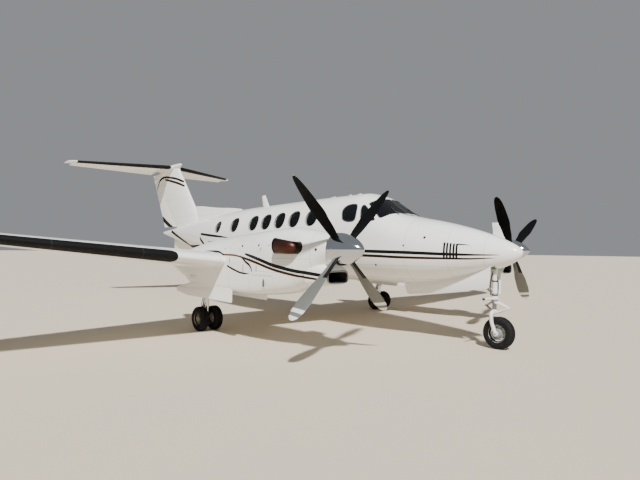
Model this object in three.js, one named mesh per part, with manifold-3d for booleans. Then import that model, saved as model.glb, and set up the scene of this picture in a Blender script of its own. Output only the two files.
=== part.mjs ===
// Full-size twin turboprop business plane, standing on its wheels.
// Millimetres. +X is forward, +Y is the plane's left, +Z is up, and the floor is at Z = 0.
// Places along the fuselage are stations: the distance aft of the nose tip.
import * as THREE from 'three';
import { mergeVertices } from 'three/addons/utils/BufferGeometryUtils.js';
import Module from 'manifold-3d';

const wasm = await Module();
wasm.setup();

// Driving dimensions
const LENGTH = 13880;
const NOSE_X = LENGTH / 2;
const SEAT_GAP = 0.3;
const WIDE = 5000;

const RADOME_END = 530;
const NOSE_END = 1900;
const COCKPIT_END = 3560;
const CABIN_END = 8650;
const TAIL_END = 12850;
const CABIN_WALL = 70;
const TAIL_WALL = 45;
const FLOOR_TOP = 1390;
const FLOOR_THICK = 26;

const NACELLE_Y = 2617;
const PROP_STATION = 1480;
const PROP_RADIUS = 1340;
const THRUST_Z = 1650;
const COWL_START = 1620;
const FIREWALL = 3300;
const COWL_WALL = 25;

const WING_JOINT_Y = 3100;
const COVE_GAP = 11;
const END_GAP = 14;

const MAIN_STATION = 5333;
const MAIN_TYRE_R = 242;
const MAIN_TYRE_HALF = 80;
const MAIN_TWIN_HALF = 149;
const NOSE_WHEEL_STATION = 390;
const NOSE_LEG_STATION = 480;
const COLLAR_Z = 820;
const NOSE_TYRE_R = 272;
const NOSE_TYRE_HALF = 86;
const AXLE_R = 28;
const BORE_R = 28.6;

const STABILISER_Z = 4267;
const SIDES = [['left', 1], ['right', -1]];

const PAINT = [0xf2f1ec, 0.28, 0.0];
const METAL = [0xc9cacb, 0.22, 1.0];
const GREY_METAL = [0x8b8d8c, 0.42, 1.0];
const DARK = [0x16171a, 0.6, 0.0];
const RUBBER = [0x17171a, 0.85, 0.0];
const GLASS = [0x1b222b, 0.08, 0.0];
const LEATHER = [0x6a5c50, 0.6, 0.0];

const plane = new THREE.Group();
plane.name = 'turboprop_business_plane';

// Moves from a station to the frame's X
function atStation(station) {
  return NOSE_X - station;
}

// Geometry to solid and back
function toSolid(geometry) {
  const bare = geometry.index ? geometry.toNonIndexed() : geometry.clone();
  for (const name of Object.keys(bare.attributes)) {
    if (name !== 'position') {
      bare.deleteAttribute(name);
    }
  }
  const merged = mergeVertices(bare, 1e-3);
  const vertProperties = new Float32Array(merged.attributes.position.array);
  const triVerts = new Uint32Array(dropFlat(merged.index.array));
  const solid = new wasm.Manifold(new wasm.Mesh({ numProp: 3, vertProperties, triVerts }));
  return solid;
}

function dropFlat(index) {
  const kept = [];
  for (let i = 0; i < index.length; i += 3) {
    const [a, b, c] = [index[i], index[i + 1], index[i + 2]];
    if (a !== b && b !== c && a !== c) {
      kept.push(a, b, c);
    }
  }
  return kept;
}

function fromSolid(solid) {
  const mesh = solid.getMesh();
  const geometry = new THREE.BufferGeometry();
  geometry.setAttribute('position', new THREE.BufferAttribute(mesh.vertProperties.slice(), 3));
  geometry.setIndex(new THREE.BufferAttribute(mesh.triVerts.slice(), 1));
  return geometry;
}

function join(...solids) {
  return solids.reduce((whole, next) => whole.add(next));
}

function cut(solid, ...tools) {
  return tools.reduce((rest, tool) => rest.subtract(tool), solid);
}

function addNode(name, solid, [color, roughness, metalness]) {
  const material = new THREE.MeshStandardMaterial({ color, roughness, metalness, flatShading: true });
  const mesh = new THREE.Mesh(fromSolid(solid), material);
  mesh.name = name;
  plane.add(mesh);
}

// A loft through closed rings of points, each ring an array of [x, y, z]
function loft(rings) {
  const count = rings[0].length;
  const points = rings.flat();
  const index = [];
  for (let r = 0; r + 1 < rings.length; r += 1) {
    for (let i = 0; i < count; i += 1) {
      const a = r * count + i;
      const b = r * count + (i + 1) % count;
      index.push(a, b, b + count, a, b + count, a + count);
    }
  }
  const last = (rings.length - 1) * count;
  for (const [a, b, c] of capTriangles(rings[0])) {
    index.push(a, c, b);
  }
  for (const [a, b, c] of capTriangles(rings[rings.length - 1])) {
    index.push(last + a, last + b, last + c);
  }
  if (signedVolume(points, index) < 0) {
    index.reverse();
  }
  const geometry = new THREE.BufferGeometry();
  geometry.setAttribute('position', new THREE.Float32BufferAttribute(points.flat(), 3));
  geometry.setIndex(index);
  return toSolid(geometry);
}

function signedVolume(points, index) {
  let volume = 0;
  for (let i = 0; i < index.length; i += 3) {
    const [a, b, c] = [points[index[i]], points[index[i + 1]], points[index[i + 2]]];
    volume += a[0] * (b[1] * c[2] - b[2] * c[1]);
    volume += a[1] * (b[2] * c[0] - b[0] * c[2]);
    volume += a[2] * (b[0] * c[1] - b[1] * c[0]);
  }
  return volume / 6;
}

// Triangles over a flat ring, wound the same way as the ring
function capTriangles(ring) {
  const normal = new THREE.Vector3();
  ring.forEach((p, i) => {
    const q = ring[(i + 1) % ring.length];
    normal.x += (p[1] - q[1]) * (p[2] + q[2]);
    normal.y += (p[2] - q[2]) * (p[0] + q[0]);
    normal.z += (p[0] - q[0]) * (p[1] + q[1]);
  });
  normal.normalize();
  const across = Math.abs(normal.z) < 0.9 ? new THREE.Vector3(0, 0, 1) : new THREE.Vector3(1, 0, 0);
  const u = new THREE.Vector3().crossVectors(across, normal).normalize();
  const v = new THREE.Vector3().crossVectors(normal, u);
  const flat = ring.map((p) => new THREE.Vector2(
    p[0] * u.x + p[1] * u.y + p[2] * u.z,
    p[0] * v.x + p[1] * v.y + p[2] * v.z,
  ));
  return THREE.ShapeUtils.triangulateShape(flat, []).map(([a, b, c]) => {
    const [p, q, r] = [flat[a], flat[b], flat[c]];
    const turn = (q.x - p.x) * (r.y - p.y) - (q.y - p.y) * (r.x - p.x);
    return turn > 0 ? [a, b, c] : [a, c, b];
  });
}

// A box between two corners
function box([x0, x1], [y0, y1], [z0, z1]) {
  const geometry = new THREE.BoxGeometry(Math.abs(x1 - x0), Math.abs(y1 - y0), Math.abs(z1 - z0));
  geometry.translate((x0 + x1) / 2, (y0 + y1) / 2, (z0 + z1) / 2);
  return toSolid(geometry);
}

// A box given by stations rather than by X
function stationBox([s0, s1], ys, zs) {
  return box([atStation(s0), atStation(s1)], ys, zs);
}

// A round bar or cone from one point to another
function bar(from, to, radius, endRadius = radius, sides = 10) {
  const start = new THREE.Vector3(...from);
  const end = new THREE.Vector3(...to);
  const along = end.clone().sub(start);
  const geometry = new THREE.CylinderGeometry(endRadius, radius, along.length(), sides);
  const turn = new THREE.Quaternion().setFromUnitVectors(new THREE.Vector3(0, 1, 0), along.normalize());
  geometry.applyQuaternion(turn);
  const middle = start.add(end).multiplyScalar(0.5);
  geometry.translate(middle.x, middle.y, middle.z);
  return toSolid(geometry);
}

// A turned shape about a line along X, from [X, radius] pairs that go forward
function turnedAboutX(profile, sides, y, z) {
  const outline = profile.map(([x, radius]) => new THREE.Vector2(radius, x));
  const geometry = new THREE.LatheGeometry(outline, sides);
  geometry.rotateZ(-Math.PI / 2);
  geometry.translate(0, y, z);
  return toSolid(geometry);
}

// An oval ring in a plane across X: half width, top, bottom, the height of the widest place,
// and how square its upper and lower halves are
function ovalRing(x, y, { half, top, bottom, mid, upper, lower }, points) {
  const ring = [];
  for (let i = 0; i < points; i += 1) {
    const angle = (2 * Math.PI * i) / points;
    const c = Math.cos(angle);
    const s = Math.sin(angle);
    const power = 2 / (s >= 0 ? upper : lower);
    const reach = s >= 0 ? top - mid : mid - bottom;
    const across = half * Math.sign(c) * Math.abs(c) ** power;
    const up = reach * Math.sign(s) * Math.abs(s) ** power;
    ring.push([x, y + across, mid + up]);
  }
  return ring;
}

// A whole oval body through its section table, shrunk by an inset
function ovalBody(table, y, inset, points) {
  return loft(table.map(([station, half, top, bottom, mid, upper, lower]) => {
    const row = { half: half - inset, top: top - inset, bottom: bottom + inset, mid, upper, lower };
    return ovalRing(atStation(station), y, row, points);
  }));
}

function slice(body, stations) {
  return body.intersect(stationBox(stations, [-WIDE, WIDE], [-WIDE, WIDE]));
}

// Fuselage sections: station, half width, top, bottom, widest height, squareness up and down
const FUSELAGE = [
  [0, 34, 1662, 1590, 1626, 2, 2],
  [60, 92, 1712, 1519, 1622, 2, 2],
  [220, 184, 1800, 1420, 1612, 2, 2],
  [630, 350, 1952, 1280, 1600, 2.1, 2.1],
  [1000, 462, 2057, 1187, 1605, 2.2, 2.2],
  [1500, 596, 2172, 1090, 1640, 2.2, 2.3],
  [2010, 704, 2266, 1030, 1690, 2.3, 2.4],
  [2330, 750, 2340, 1008, 1715, 2.7, 2.45],
  [2560, 771, 2486, 1001, 1740, 2.65, 2.5],
  [2800, 791, 2648, 998, 1768, 2.45, 2.5],
  [3030, 804, 2744, 996, 1785, 2.3, 2.5],
  [3290, 812, 2800, 996, 1795, 2.25, 2.5],
  [3800, 818, 2794, 996, 1800, 2.3, 2.5],
  [6980, 818, 2708, 998, 1800, 2.3, 2.5],
  [7700, 792, 2680, 1010, 1815, 2.25, 2.4],
  [8650, 712, 2612, 1140, 1860, 2.2, 2.3],
  [9600, 580, 2530, 1352, 1935, 2.1, 2.2],
  [10700, 396, 2404, 1612, 2030, 2, 2],
  [11700, 220, 2290, 1846, 2085, 2, 2],
  [12250, 128, 2226, 1962, 2104, 2, 2],
  [12850, 40, 2160, 2082, 2122, 2, 2],
];
const FUSELAGE_POINTS = 24;

function fuselage(stations, inset = 0) {
  return slice(ovalBody(FUSELAGE, 0, inset, FUSELAGE_POINTS), stations);
}

// Wing rows: distance out, leading edge station, height of the chord, chord, thickness ratio, bank
const WING = [
  [0, 3900, 1196, 2320, 0.138, 0],
  [640, 3900, 1196, 2320, 0.138, 0],
  [WING_JOINT_Y, 4030, 1434, 2100, 0.15, 5.6],
  [8300, 4325, 1950, 900, 0.12, 5.9],
  [8560, 4470, 2042, 700, 0.1, 40],
  [8730, 4760, 2300, 480, 0.09, 68],
  [8814, 5080, 2640, 250, 0.09, 74],
];
const HINGE_SHARE = 0.78;

// Half thickness of a wing section at a share of its chord
function halfThickness(share, ratio) {
  const root = 0.2969 * Math.sqrt(share);
  return 5 * ratio * (root - 0.126 * share - 0.3516 * share ** 2 + 0.2843 * share ** 3 - 0.1015 * share ** 4);
}

// Points round a wing section as [distance aft, height], grown all round for a seat
const CHORD_SHARES = [1, 0.76, 0.5, 0.3, 0.15, 0.06, 0.015];
const EDGE_HALF = 2.5;

function wingOutline(chord, ratio, grow) {
  const upper = CHORD_SHARES.map((share) => {
    const reach = share === 1 ? chord + grow : chord * share;
    return [reach, Math.max(chord * halfThickness(share, ratio), EDGE_HALF) + grow];
  });
  const lower = upper.map(([aft, up]) => [aft, -up]).reverse();
  return [...upper, [-grow, 0], ...lower];
}

function wingRing(row, side, grow) {
  const [out, lead, height, chord, ratio, bank] = row;
  const tilt = THREE.MathUtils.degToRad(bank);
  return wingOutline(chord, ratio, grow).map(([aft, up]) => [
    atStation(lead + aft),
    side * (out - up * Math.sin(tilt)),
    height + up * Math.cos(tilt),
  ]);
}

function wingRowAt(out) {
  const next = Math.max(1, WING.findIndex((row) => row[0] >= out));
  const [low, high] = [WING[next - 1], WING[next]];
  const share = (out - low[0]) / (high[0] - low[0]);
  return low.map((value, i) => value + share * (high[i] - value));
}

// The wing between two distances out on one side
function wingPiece(side, out0, out1, grow = 0) {
  const inside = WING.map((row) => row[0]).filter((out) => out > out0 + 1 && out < out1 - 1);
  const rings = [out0, ...inside, out1].map((out) => wingRing(wingRowAt(out), side, grow));
  return loft(rings);
}

function wholeCentre(grow = 0) {
  const outs = [WING_JOINT_Y, 640];
  const left = outs.map((out) => wingRing(wingRowAt(out), 1, grow));
  const right = outs.map((out) => wingRing(wingRowAt(out), -1, grow)).reverse();
  return loft([...left, ...right]);
}

// A hinged surface behind a hinge line. Each end holds the hinge point, the nose radius and
// the trailing edge's distance aft. The nose is round about the hinge.
const NOSE_STEPS = 6;

function hingeFrame(ends, up) {
  const [first, second] = ends.map((end) => new THREE.Vector3(...end.hinge));
  const axis = second.clone().sub(first).normalize();
  const aft = new THREE.Vector3(-1, 0, 0);
  aft.addScaledVector(axis, -aft.dot(axis)).normalize();
  const lift = new THREE.Vector3().crossVectors(axis, aft).normalize();
  if (lift.dot(up) < 0) {
    lift.negate();
  }
  return { first, second, axis, aft, lift };
}

// A ring from [distance aft, distance up] pairs in a plane across the hinge line
function ringAcross(frame, origin, outline) {
  return outline.map(([back, high]) => {
    const point = origin.clone().addScaledVector(frame.aft, back).addScaledVector(frame.lift, high);
    return [point.x, point.y, point.z];
  });
}

function hingedSurface(ends, up) {
  const frame = hingeFrame(ends, up);
  return loft([
    ringAcross(frame, frame.first, surfaceOutline(ends[0])),
    ringAcross(frame, frame.second, surfaceOutline(ends[1])),
  ]);
}

// The room that a hinged surface needs, taken out of what carries it
function cove(ends, up, endGap) {
  const frame = hingeFrame(ends, up);
  return loft([
    ringAcross(frame, frame.first.clone().addScaledVector(frame.axis, -endGap), coveOutline(ends[0])),
    ringAcross(frame, frame.second.clone().addScaledVector(frame.axis, endGap), coveOutline(ends[1])),
  ]);
}

// Hinge arms at shares of a hinge line, and the notches in the surface that they stand in
const ARM_HALF_HEIGHT = 12;
const ARM_HALF_WIDTH = 12;
const NOTCH_BACK = 19;

function hingePlates(ends, up, shares, halfWidth, outlineAt) {
  const frame = hingeFrame(ends, up);
  return shares.map((share) => {
    const radius = ends[0].radius + share * (ends[1].radius - ends[0].radius);
    const middle = frame.first.clone().lerp(frame.second, share);
    return loft([-halfWidth, halfWidth].map((along) => ringAcross(
      frame, middle.clone().addScaledVector(frame.axis, along), outlineAt(radius),
    )));
  });
}

function hingeNotches(ends, up, shares) {
  const reach = 160;
  const outline = () => [[-reach, -reach], [NOTCH_BACK, -reach], [NOTCH_BACK, reach], [-reach, reach]];
  return hingePlates(ends, up, shares, ARM_HALF_WIDTH + SEAT_GAP, outline);
}

function hingeArms(ends, up, shares) {
  const outline = (radius) => {
    const root = -(radius + COVE_GAP + 20);
    const tip = [-60, -20, 20, 60].map((degrees) => {
      const angle = THREE.MathUtils.degToRad(degrees);
      return [ARM_HALF_HEIGHT * Math.cos(angle), ARM_HALF_HEIGHT * Math.sin(angle)];
    });
    const lower = [[root, -ARM_HALF_HEIGHT], [0, -ARM_HALF_HEIGHT]];
    const upper = [[0, ARM_HALF_HEIGHT], [root, ARM_HALF_HEIGHT]];
    return [...lower, ...tip, ...upper];
  };
  return hingePlates(ends, up, shares, ARM_HALF_WIDTH, outline);
}

function noseArc(radius) {
  const arc = [];
  for (let i = 0; i <= NOSE_STEPS; i += 1) {
    const angle = Math.PI / 2 + (Math.PI * i) / NOSE_STEPS;
    arc.push([radius * Math.cos(angle), radius * Math.sin(angle)]);
  }
  return arc;
}

function surfaceOutline({ radius, chord }) {
  return [...noseArc(radius), [chord, -EDGE_HALF], [chord, EDGE_HALF]];
}

function coveOutline({ radius }) {
  const reach = 1500;
  const side = 300;
  return [...noseArc(radius + COVE_GAP), [0, -side], [reach, -side], [reach, side], [0, side]];
}

// Where a wing surface's hinge lies at a distance out
function wingHinge(side, out) {
  const [, lead, height, chord, ratio] = wingRowAt(out);
  const tilt = chord * HINGE_SHARE;
  return {
    hinge: [atStation(lead + tilt), side * out, height],
    radius: chord * halfThickness(HINGE_SHARE, ratio) - 1,
    chord: chord * (1 - HINGE_SHARE),
  };
}

// Flying surfaces on the wing: name, inner and outer distance out, and its hinge arms' shares.
// Flaps run on a roller at each end instead of hinge arms.
const WING_SURFACES = [
  ['flap_inboard', 930, 2150, []],
  ['flap_outboard', 3160, 5640, []],
  ['aileron', 5700, 8120, [0.2, 0.8]],
];
const ROLLER_R = 12;
const UP = new THREE.Vector3(0, 0, 1);

function wingSurfaceEnds(side, out0, out1) {
  return [wingHinge(side, out0), wingHinge(side, out1)];
}

function wingSurfaceOn(centre) {
  return WING_SURFACES.filter(([, out0]) => (out0 < WING_JOINT_Y) === centre);
}

function carrySurfaces(panel, side, centre) {
  return wingSurfaceOn(centre).reduce((wing, [, out0, out1, shares]) => {
    const ends = wingSurfaceEnds(side, out0, out1);
    return join(cut(wing, cove(ends, UP, END_GAP)), ...hingeArms(ends, UP, shares));
  }, panel);
}

function wingSurface(side, out0, out1, shares) {
  const ends = wingSurfaceEnds(side, out0, out1);
  const surface = cut(hingedSurface(ends, UP), ...hingeNotches(ends, UP, shares));
  return shares.length > 0 ? surface : join(surface, ...endRollers(ends));
}

function endRollers(ends) {
  const { first, second, axis } = hingeFrame(ends, UP);
  const reach = END_GAP - SEAT_GAP;
  const ways = [[first, -1], [second, 1]];
  return ways.map(([end, way]) => bar(
    end.clone().addScaledVector(axis, -way * ROLLER_R).toArray(),
    end.clone().addScaledVector(axis, way * reach).toArray(),
    ROLLER_R, ROLLER_R, 8,
  ));
}

function makeWings() {
  addNode('wing_centre', carrySurfaces(carrySurfaces(wholeCentre(), 1, true), -1, true), PAINT);
  for (const [name, side] of SIDES) {
    const panel = wingPiece(side, WING_JOINT_Y + SEAT_GAP, WING[WING.length - 1][0]);
    addNode(`wing_${name}`, carrySurfaces(panel, side, false), PAINT);
    for (const [surface, out0, out1, shares] of WING_SURFACES) {
      addNode(`${surface}_${name}`, wingSurface(side, out0, out1, shares), PAINT);
    }
  }
}

// Fuselage windows. Cabin windows: station, height, half width, half height
const CABIN_WINDOWS = [
  [4360, 2310, 186, 182],
  [4940, 2293, 186, 182],
  [5455, 2278, 186, 182],
  [5970, 2262, 186, 182],
  [6482, 2247, 186, 182],
  [7320, 2224, 186, 180],
  [8185, 2190, 150, 150],
];
const WINDOW_POINTS = 12;
const PANE_GAP = 3;
const DOOR_STATIONS = [6960, 7640];
const DOOR_HEIGHTS = [1318, 2630];
const DOOR_DEPTHS = [250, 1000];
const DOOR_GAP = 9;
const DOOR_SILL_OUT = 560;

// An upright prism through the side skin, from an outline of [station, height]
function sidePrism(outline, side, shrink = 0) {
  const centre = outline.reduce((sum, p) => [sum[0] + p[0], sum[1] + p[1]], [0, 0])
    .map((total) => total / outline.length);
  const shrunk = outline.map(([station, height]) => {
    const away = [station - centre[0], height - centre[1]];
    const reach = Math.hypot(...away);
    const share = (reach - shrink) / reach;
    return [centre[0] + away[0] * share, centre[1] + away[1] * share];
  });
  const ringAt = (y) => shrunk.map(([station, height]) => [atStation(station), side * y, height]);
  return loft([200, 1000].map(ringAt));
}

function ovalOutline([station, height, halfWidth, halfHeight]) {
  const outline = [];
  for (let i = 0; i < WINDOW_POINTS; i += 1) {
    const angle = (2 * Math.PI * i) / WINDOW_POINTS;
    outline.push([station + halfWidth * Math.cos(angle), height + halfHeight * Math.sin(angle)]);
  }
  return outline;
}

// A prism standing on the plan of the nose, from an outline of [station, distance out]
function planPrism(outline, side) {
  return loft([2000, 2900].map((z) => outline.map(([station, out]) => [atStation(station), side * out, z])));
}

// Cockpit glass outlines: the windshield in plan, the side windows from the side
const WINDSHIELD = [[2345, 32], [2385, 330], [2450, 560], [2510, 640], [2900, 520], [2830, 300], [2795, 32]];
const SIDE_FRONT = [
  [2590, 2205], [2700, 2190], [2870, 2200], [2930, 2250], [3000, 2440], [3010, 2505], [2950, 2505],
  [2800, 2400],
];
const SIDE_REAR = [
  [3060, 2250], [3100, 2190], [3272, 2190], [3400, 2235], [3470, 2400], [3450, 2480], [3370, 2528],
  [3250, 2540], [3145, 2528], [3100, 2440],
];
const WINDSHIELD_SHRUNK = 0.985;

function shrinkPlan(outline) {
  const centre = outline.reduce((sum, p) => [sum[0] + p[0], sum[1] + p[1]], [0, 0])
    .map((total) => total / outline.length);
  return outline.map((p) => p.map((value, i) => centre[i] + (value - centre[i]) * WINDSHIELD_SHRUNK));
}

function cockpitCutters(side) {
  return [planPrism(WINDSHIELD, side), sidePrism(SIDE_FRONT, side), sidePrism(SIDE_REAR, side)];
}

const SKIN_DEPTH = 4;
const LINING = 12;
const NOSE_WELL = [400, 1850];
const NOSE_WELL_HALF = 170;
const NOSE_WELL_TOP = 1480;
const NOSE_DOOR_END = 2250;

// Airstair hinges: a lug under the doorway between two knuckles on the door, about one line
const HINGE_LINE = [726, 1322];
const KNUCKLE_R = 9;
const HINGE_STATIONS = [7080, 7520];
const LUG_HALF = 20;
const KNUCKLE_END = 50;
const LUG_ANGLES = [-45, -10, 25, 60, 100];
const LUG_ROOT = [[662, 1303], [668, 1278]];
const KNUCKLE_ANGLES = [190, 235, 280, 325, 370, 400];
const KNUCKLE_ROOT = [[690, 1372], [680, 1350]];

function hingeLeaf(stations, angles, root) {
  const arc = angles.map((degrees) => {
    const angle = THREE.MathUtils.degToRad(degrees);
    return [HINGE_LINE[0] + KNUCKLE_R * Math.cos(angle), HINGE_LINE[1] + KNUCKLE_R * Math.sin(angle)];
  });
  return loft(stations.map((station) => [...arc, ...root].map(([y, z]) => [atStation(station), y, z])));
}

function doorLugs() {
  return HINGE_STATIONS.map((middle) => (
    hingeLeaf([middle - LUG_HALF, middle + LUG_HALF], LUG_ANGLES, LUG_ROOT)
  ));
}

function doorKnuckles() {
  return HINGE_STATIONS.flatMap((middle) => [-1, 1].map((way) => {
    const ends = [middle + way * (LUG_HALF + SEAT_GAP), middle + way * KNUCKLE_END];
    return hingeLeaf(ends, KNUCKLE_ANGLES, KNUCKLE_ROOT);
  }));
}

function makeFuselage() {
  const well = stationBox(NOSE_WELL, [-NOSE_WELL_HALF, NOSE_WELL_HALF], [900, NOSE_WELL_TOP]);
  addNode('radome', cut(fuselage([0, RADOME_END]), well), PAINT);
  addNode('nose_fuselage', cut(fuselage([RADOME_END + SEAT_GAP, NOSE_END]), well), PAINT);

  const across = [-NOSE_WELL_HALF, NOSE_WELL_HALF];
  const recess = stationBox([NOSE_END - 10, NOSE_DOOR_END - 20], across, [900, 1050]);
  const cockpit = cut(
    fuselage([NOSE_END + SEAT_GAP, COCKPIT_END]),
    fuselage([NOSE_END - 10, COCKPIT_END + 10], CABIN_WALL),
    ...cockpitCutters(1),
    ...cockpitCutters(-1),
    recess,
  );
  addNode('cockpit_fuselage', cockpit, PAINT);

  const cabinWhole = cut(
    fuselage([COCKPIT_END + SEAT_GAP, CABIN_END]),
    fuselage([COCKPIT_END - 10, CABIN_END + 10], CABIN_WALL),
  );
  const windows = SIDES.flatMap(([, side]) => CABIN_WINDOWS.map((row) => sidePrism(ovalOutline(row), side)));
  const doorway = stationBox(DOOR_STATIONS, DOOR_DEPTHS, DOOR_HEIGHTS);
  const cabin = join(cut(cabinWhole, ...windows, doorway, wholeCentre(SEAT_GAP)), ...doorLugs());
  addNode('cabin_fuselage', cabin, PAINT);

  const doorSpace = stationBox(
    [DOOR_STATIONS[0] + DOOR_GAP, DOOR_STATIONS[1] - DOOR_GAP],
    [DOOR_DEPTHS[0] + DOOR_GAP, DOOR_DEPTHS[1]],
    [DOOR_HEIGHTS[0] + DOOR_GAP, DOOR_HEIGHTS[1] - DOOR_GAP],
  );
  const doorWindow = sidePrism(ovalOutline(CABIN_WINDOWS[5]), 1);
  const steps = [1560, 1830, 2010].map((height) => stationBox(
    [DOOR_STATIONS[0] + 80, DOOR_STATIONS[1] - 80], [560, 775], [height - 14, height + 14],
  ));
  const door = cut(join(cabinWhole.intersect(doorSpace), ...steps, ...doorKnuckles()), doorWindow);
  addNode('airstair_door', door, PAINT);

  const tail = cut(
    fuselage([CABIN_END + SEAT_GAP, TAIL_END]),
    fuselage([CABIN_END - 10, 11700], TAIL_WALL),
  );
  addNode('tail_fuselage', join(tail, ventralFin()), PAINT);
}

// Ventral fin under the tail cone, as [station, height]
const VENTRAL = [[10150, 1600], [10600, 1520], [11300, 1500], [12090, 1560], [12110, 2040], [11500, 2040]];
const VENTRAL_HALF = 14;

function ventralFin() {
  const plate = loft([-VENTRAL_HALF, VENTRAL_HALF].map(
    (y) => VENTRAL.map(([station, height]) => [atStation(station), y, height]),
  ));
  return cut(plate, fuselage([10000, 12400], TAIL_WALL));
}

// Panes that fill their cut-outs, held by a thin lining behind the skin
function glazing(cutters, liningSpace, stations) {
  const panes = cutters.map((cutter) => cut(
    fuselage(stations, SKIN_DEPTH),
    fuselage(stations, CABIN_WALL + LINING),
  ).intersect(cutter));
  const lining = cut(
    fuselage(stations, CABIN_WALL + SEAT_GAP),
    fuselage(stations, CABIN_WALL + LINING),
  ).intersect(liningSpace);
  return join(lining, ...panes);
}

function makeGlass() {
  for (const [name, side] of SIDES) {
    const cutters = [
      planPrism(shrinkPlan(WINDSHIELD), side),
      sidePrism(SIDE_FRONT, side, PANE_GAP),
      sidePrism(SIDE_REAR, side, PANE_GAP),
    ];
    const space = stationBox([2330, 3520], [side * 20, side * 900], [2150, 2600]);
    addNode(`cockpit_glass_${name}`, glazing(cutters, space, [2200, 3550]), GLASS);
    const rows = side > 0 ? CABIN_WINDOWS.slice(0, 5) : CABIN_WINDOWS;
    const last = rows[rows.length - 1];
    const strip = stationBox([4080, last[0] + 230], [side * 300, side * 900], [2020, 2520]);
    const ovals = rows.map((row) => sidePrism(ovalOutline(row), side, PANE_GAP));
    addNode(`cabin_windows_${name}`, glazing(ovals, strip, [4000, 8560]), GLASS);
  }
  const aft = CABIN_WINDOWS[6];
  const aftStrip = stationBox([aft[0] - 200, aft[0] + 230], [300, 900], [2020, 2380]);
  const aftOval = sidePrism(ovalOutline(aft), 1, PANE_GAP);
  addNode('aft_window_left', glazing([aftOval], aftStrip, [7800, 8560]), GLASS);
  const doorPane = cut(
    fuselage([7000, 7620], SKIN_DEPTH),
    fuselage([7000, 7620], CABIN_WALL - SKIN_DEPTH),
  ).intersect(sidePrism(ovalOutline(CABIN_WINDOWS[5]), 1, SEAT_GAP));
  addNode('door_window', doorPane, GLASS);
}

// Cabin floor, instrument panel and seats
function makeInterior() {
  const slab = stationBox([NOSE_END + 20, CABIN_END - 40], [-900, 900], [FLOOR_TOP - FLOOR_THICK, FLOOR_TOP]);
  const whole = fuselage([NOSE_END + 20, CABIN_END - 40], CABIN_WALL + SEAT_GAP).intersect(slab);
  const sill = stationBox(DOOR_STATIONS, [DOOR_SILL_OUT, 900], [FLOOR_TOP - 100, FLOOR_TOP + 100]);
  addNode('cabin_floor', cut(whole, sill), LEATHER);

  const stand = FLOOR_TOP + SEAT_GAP;
  const panel = join(
    stationBox([2230, 2330], [-560, 560], [1780, 2130]),
    stationBox([2120, 2400], [-500, 500], [2110, 2160]),
    stationBox([2250, 2700], [-125, 125], [stand, 1790]),
    ...[-330, 330].map((y) => join(
      bar([atStation(2320), y, 1880], [atStation(2600), y, 1880], 18, 18, 8),
      stationBox([2590, 2620], [y - 150, y + 150], [1862, 1898]),
      stationBox([2590, 2620], [y - 150, y - 118], [1862, 2000]),
      stationBox([2590, 2620], [y + 118, y + 150], [1862, 2000]),
    )),
  );
  const room = fuselage([2000, 2800], CABIN_WALL + LINING + 2);
  addNode('instrument_panel', panel.intersect(room), DARK);

  for (const [name, side] of SIDES) {
    addNode(`pilot_seat_${name}`, seat(3050, side * 395, 1, stand), LEATHER);
    const y = side * 420;
    const tracks = [-150, 150].map((offset) => stationBox(
      [4400, 6860], [y + offset - 12, y + offset + 12], [stand, stand + 14],
    ));
    const places = [[4620, -1], [5820, 1], [6560, 1]];
    const seats = places.map(([station, facing]) => seat(station, y, facing, stand + 4));
    addNode(`cabin_seats_${name}`, join(...tracks, ...seats), LEATHER);
  }
}

// A seat whose back is at a station; facing is 1 forward and -1 aft
function seat(station, y, facing, base) {
  const place = (from, to) => [station - facing * from, station - facing * to];
  return join(
    stationBox(place(60, 430), [y - 170, y + 170], [base, base + 300]),
    stationBox(place(-10, 520), [y - 215, y + 215], [base + 260, base + 410]),
    leanBack(station, y, facing, base + 300),
    stationBox(place(0, 430), [y - 245, y - 195], [base + 380, base + 590]),
    stationBox(place(0, 430), [y + 195, y + 245], [base + 380, base + 590]),
  );
}

function leanBack(station, y, facing, base) {
  const rows = [[0, 110, 205], [520, 90, 200], [600, 80, 120], [705, 60, 100]];
  return loft(rows.map(([up, thick, half]) => {
    const back = station + facing * up * 0.16;
    return [
      [atStation(back), y - half, base + up],
      [atStation(back), y + half, base + up],
      [atStation(back - facing * thick), y + half, base + up],
      [atStation(back - facing * thick), y - half, base + up],
    ];
  }));
}

// Nacelle sections, as the fuselage's
const NACELLE = [
  [1620, 232, 1882, 1424, 1650, 2, 2],
  [1760, 256, 1900, 1350, 1630, 2, 2.1],
  [1920, 282, 1920, 1240, 1590, 2.1, 2.3],
  [2150, 320, 1955, 1070, 1520, 2.2, 2.6],
  [2470, 352, 1988, 955, 1460, 2.3, 3.4],
  [2900, 374, 1972, 900, 1420, 2.4, 4.6],
  [3300, 384, 1940, 880, 1400, 2.4, 7],
  [3900, 390, 1892, 898, 1380, 2.4, 13],
  [4700, 388, 1816, 912, 1380, 2.2, 13],
  [5300, 376, 1726, 935, 1385, 2, 10],
  [5700, 354, 1646, 1030, 1390, 2, 4],
  [6100, 300, 1560, 1132, 1395, 2, 3.2],
  [6500, 190, 1470, 1220, 1390, 2, 2.4],
  [6760, 70, 1410, 1330, 1375, 2, 2],
];
const NACELLE_POINTS = 16;
const WELL_STATIONS = [3950, 5750];
const WELL_HALF = 292;
const WELL_TOP = 1195;

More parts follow.
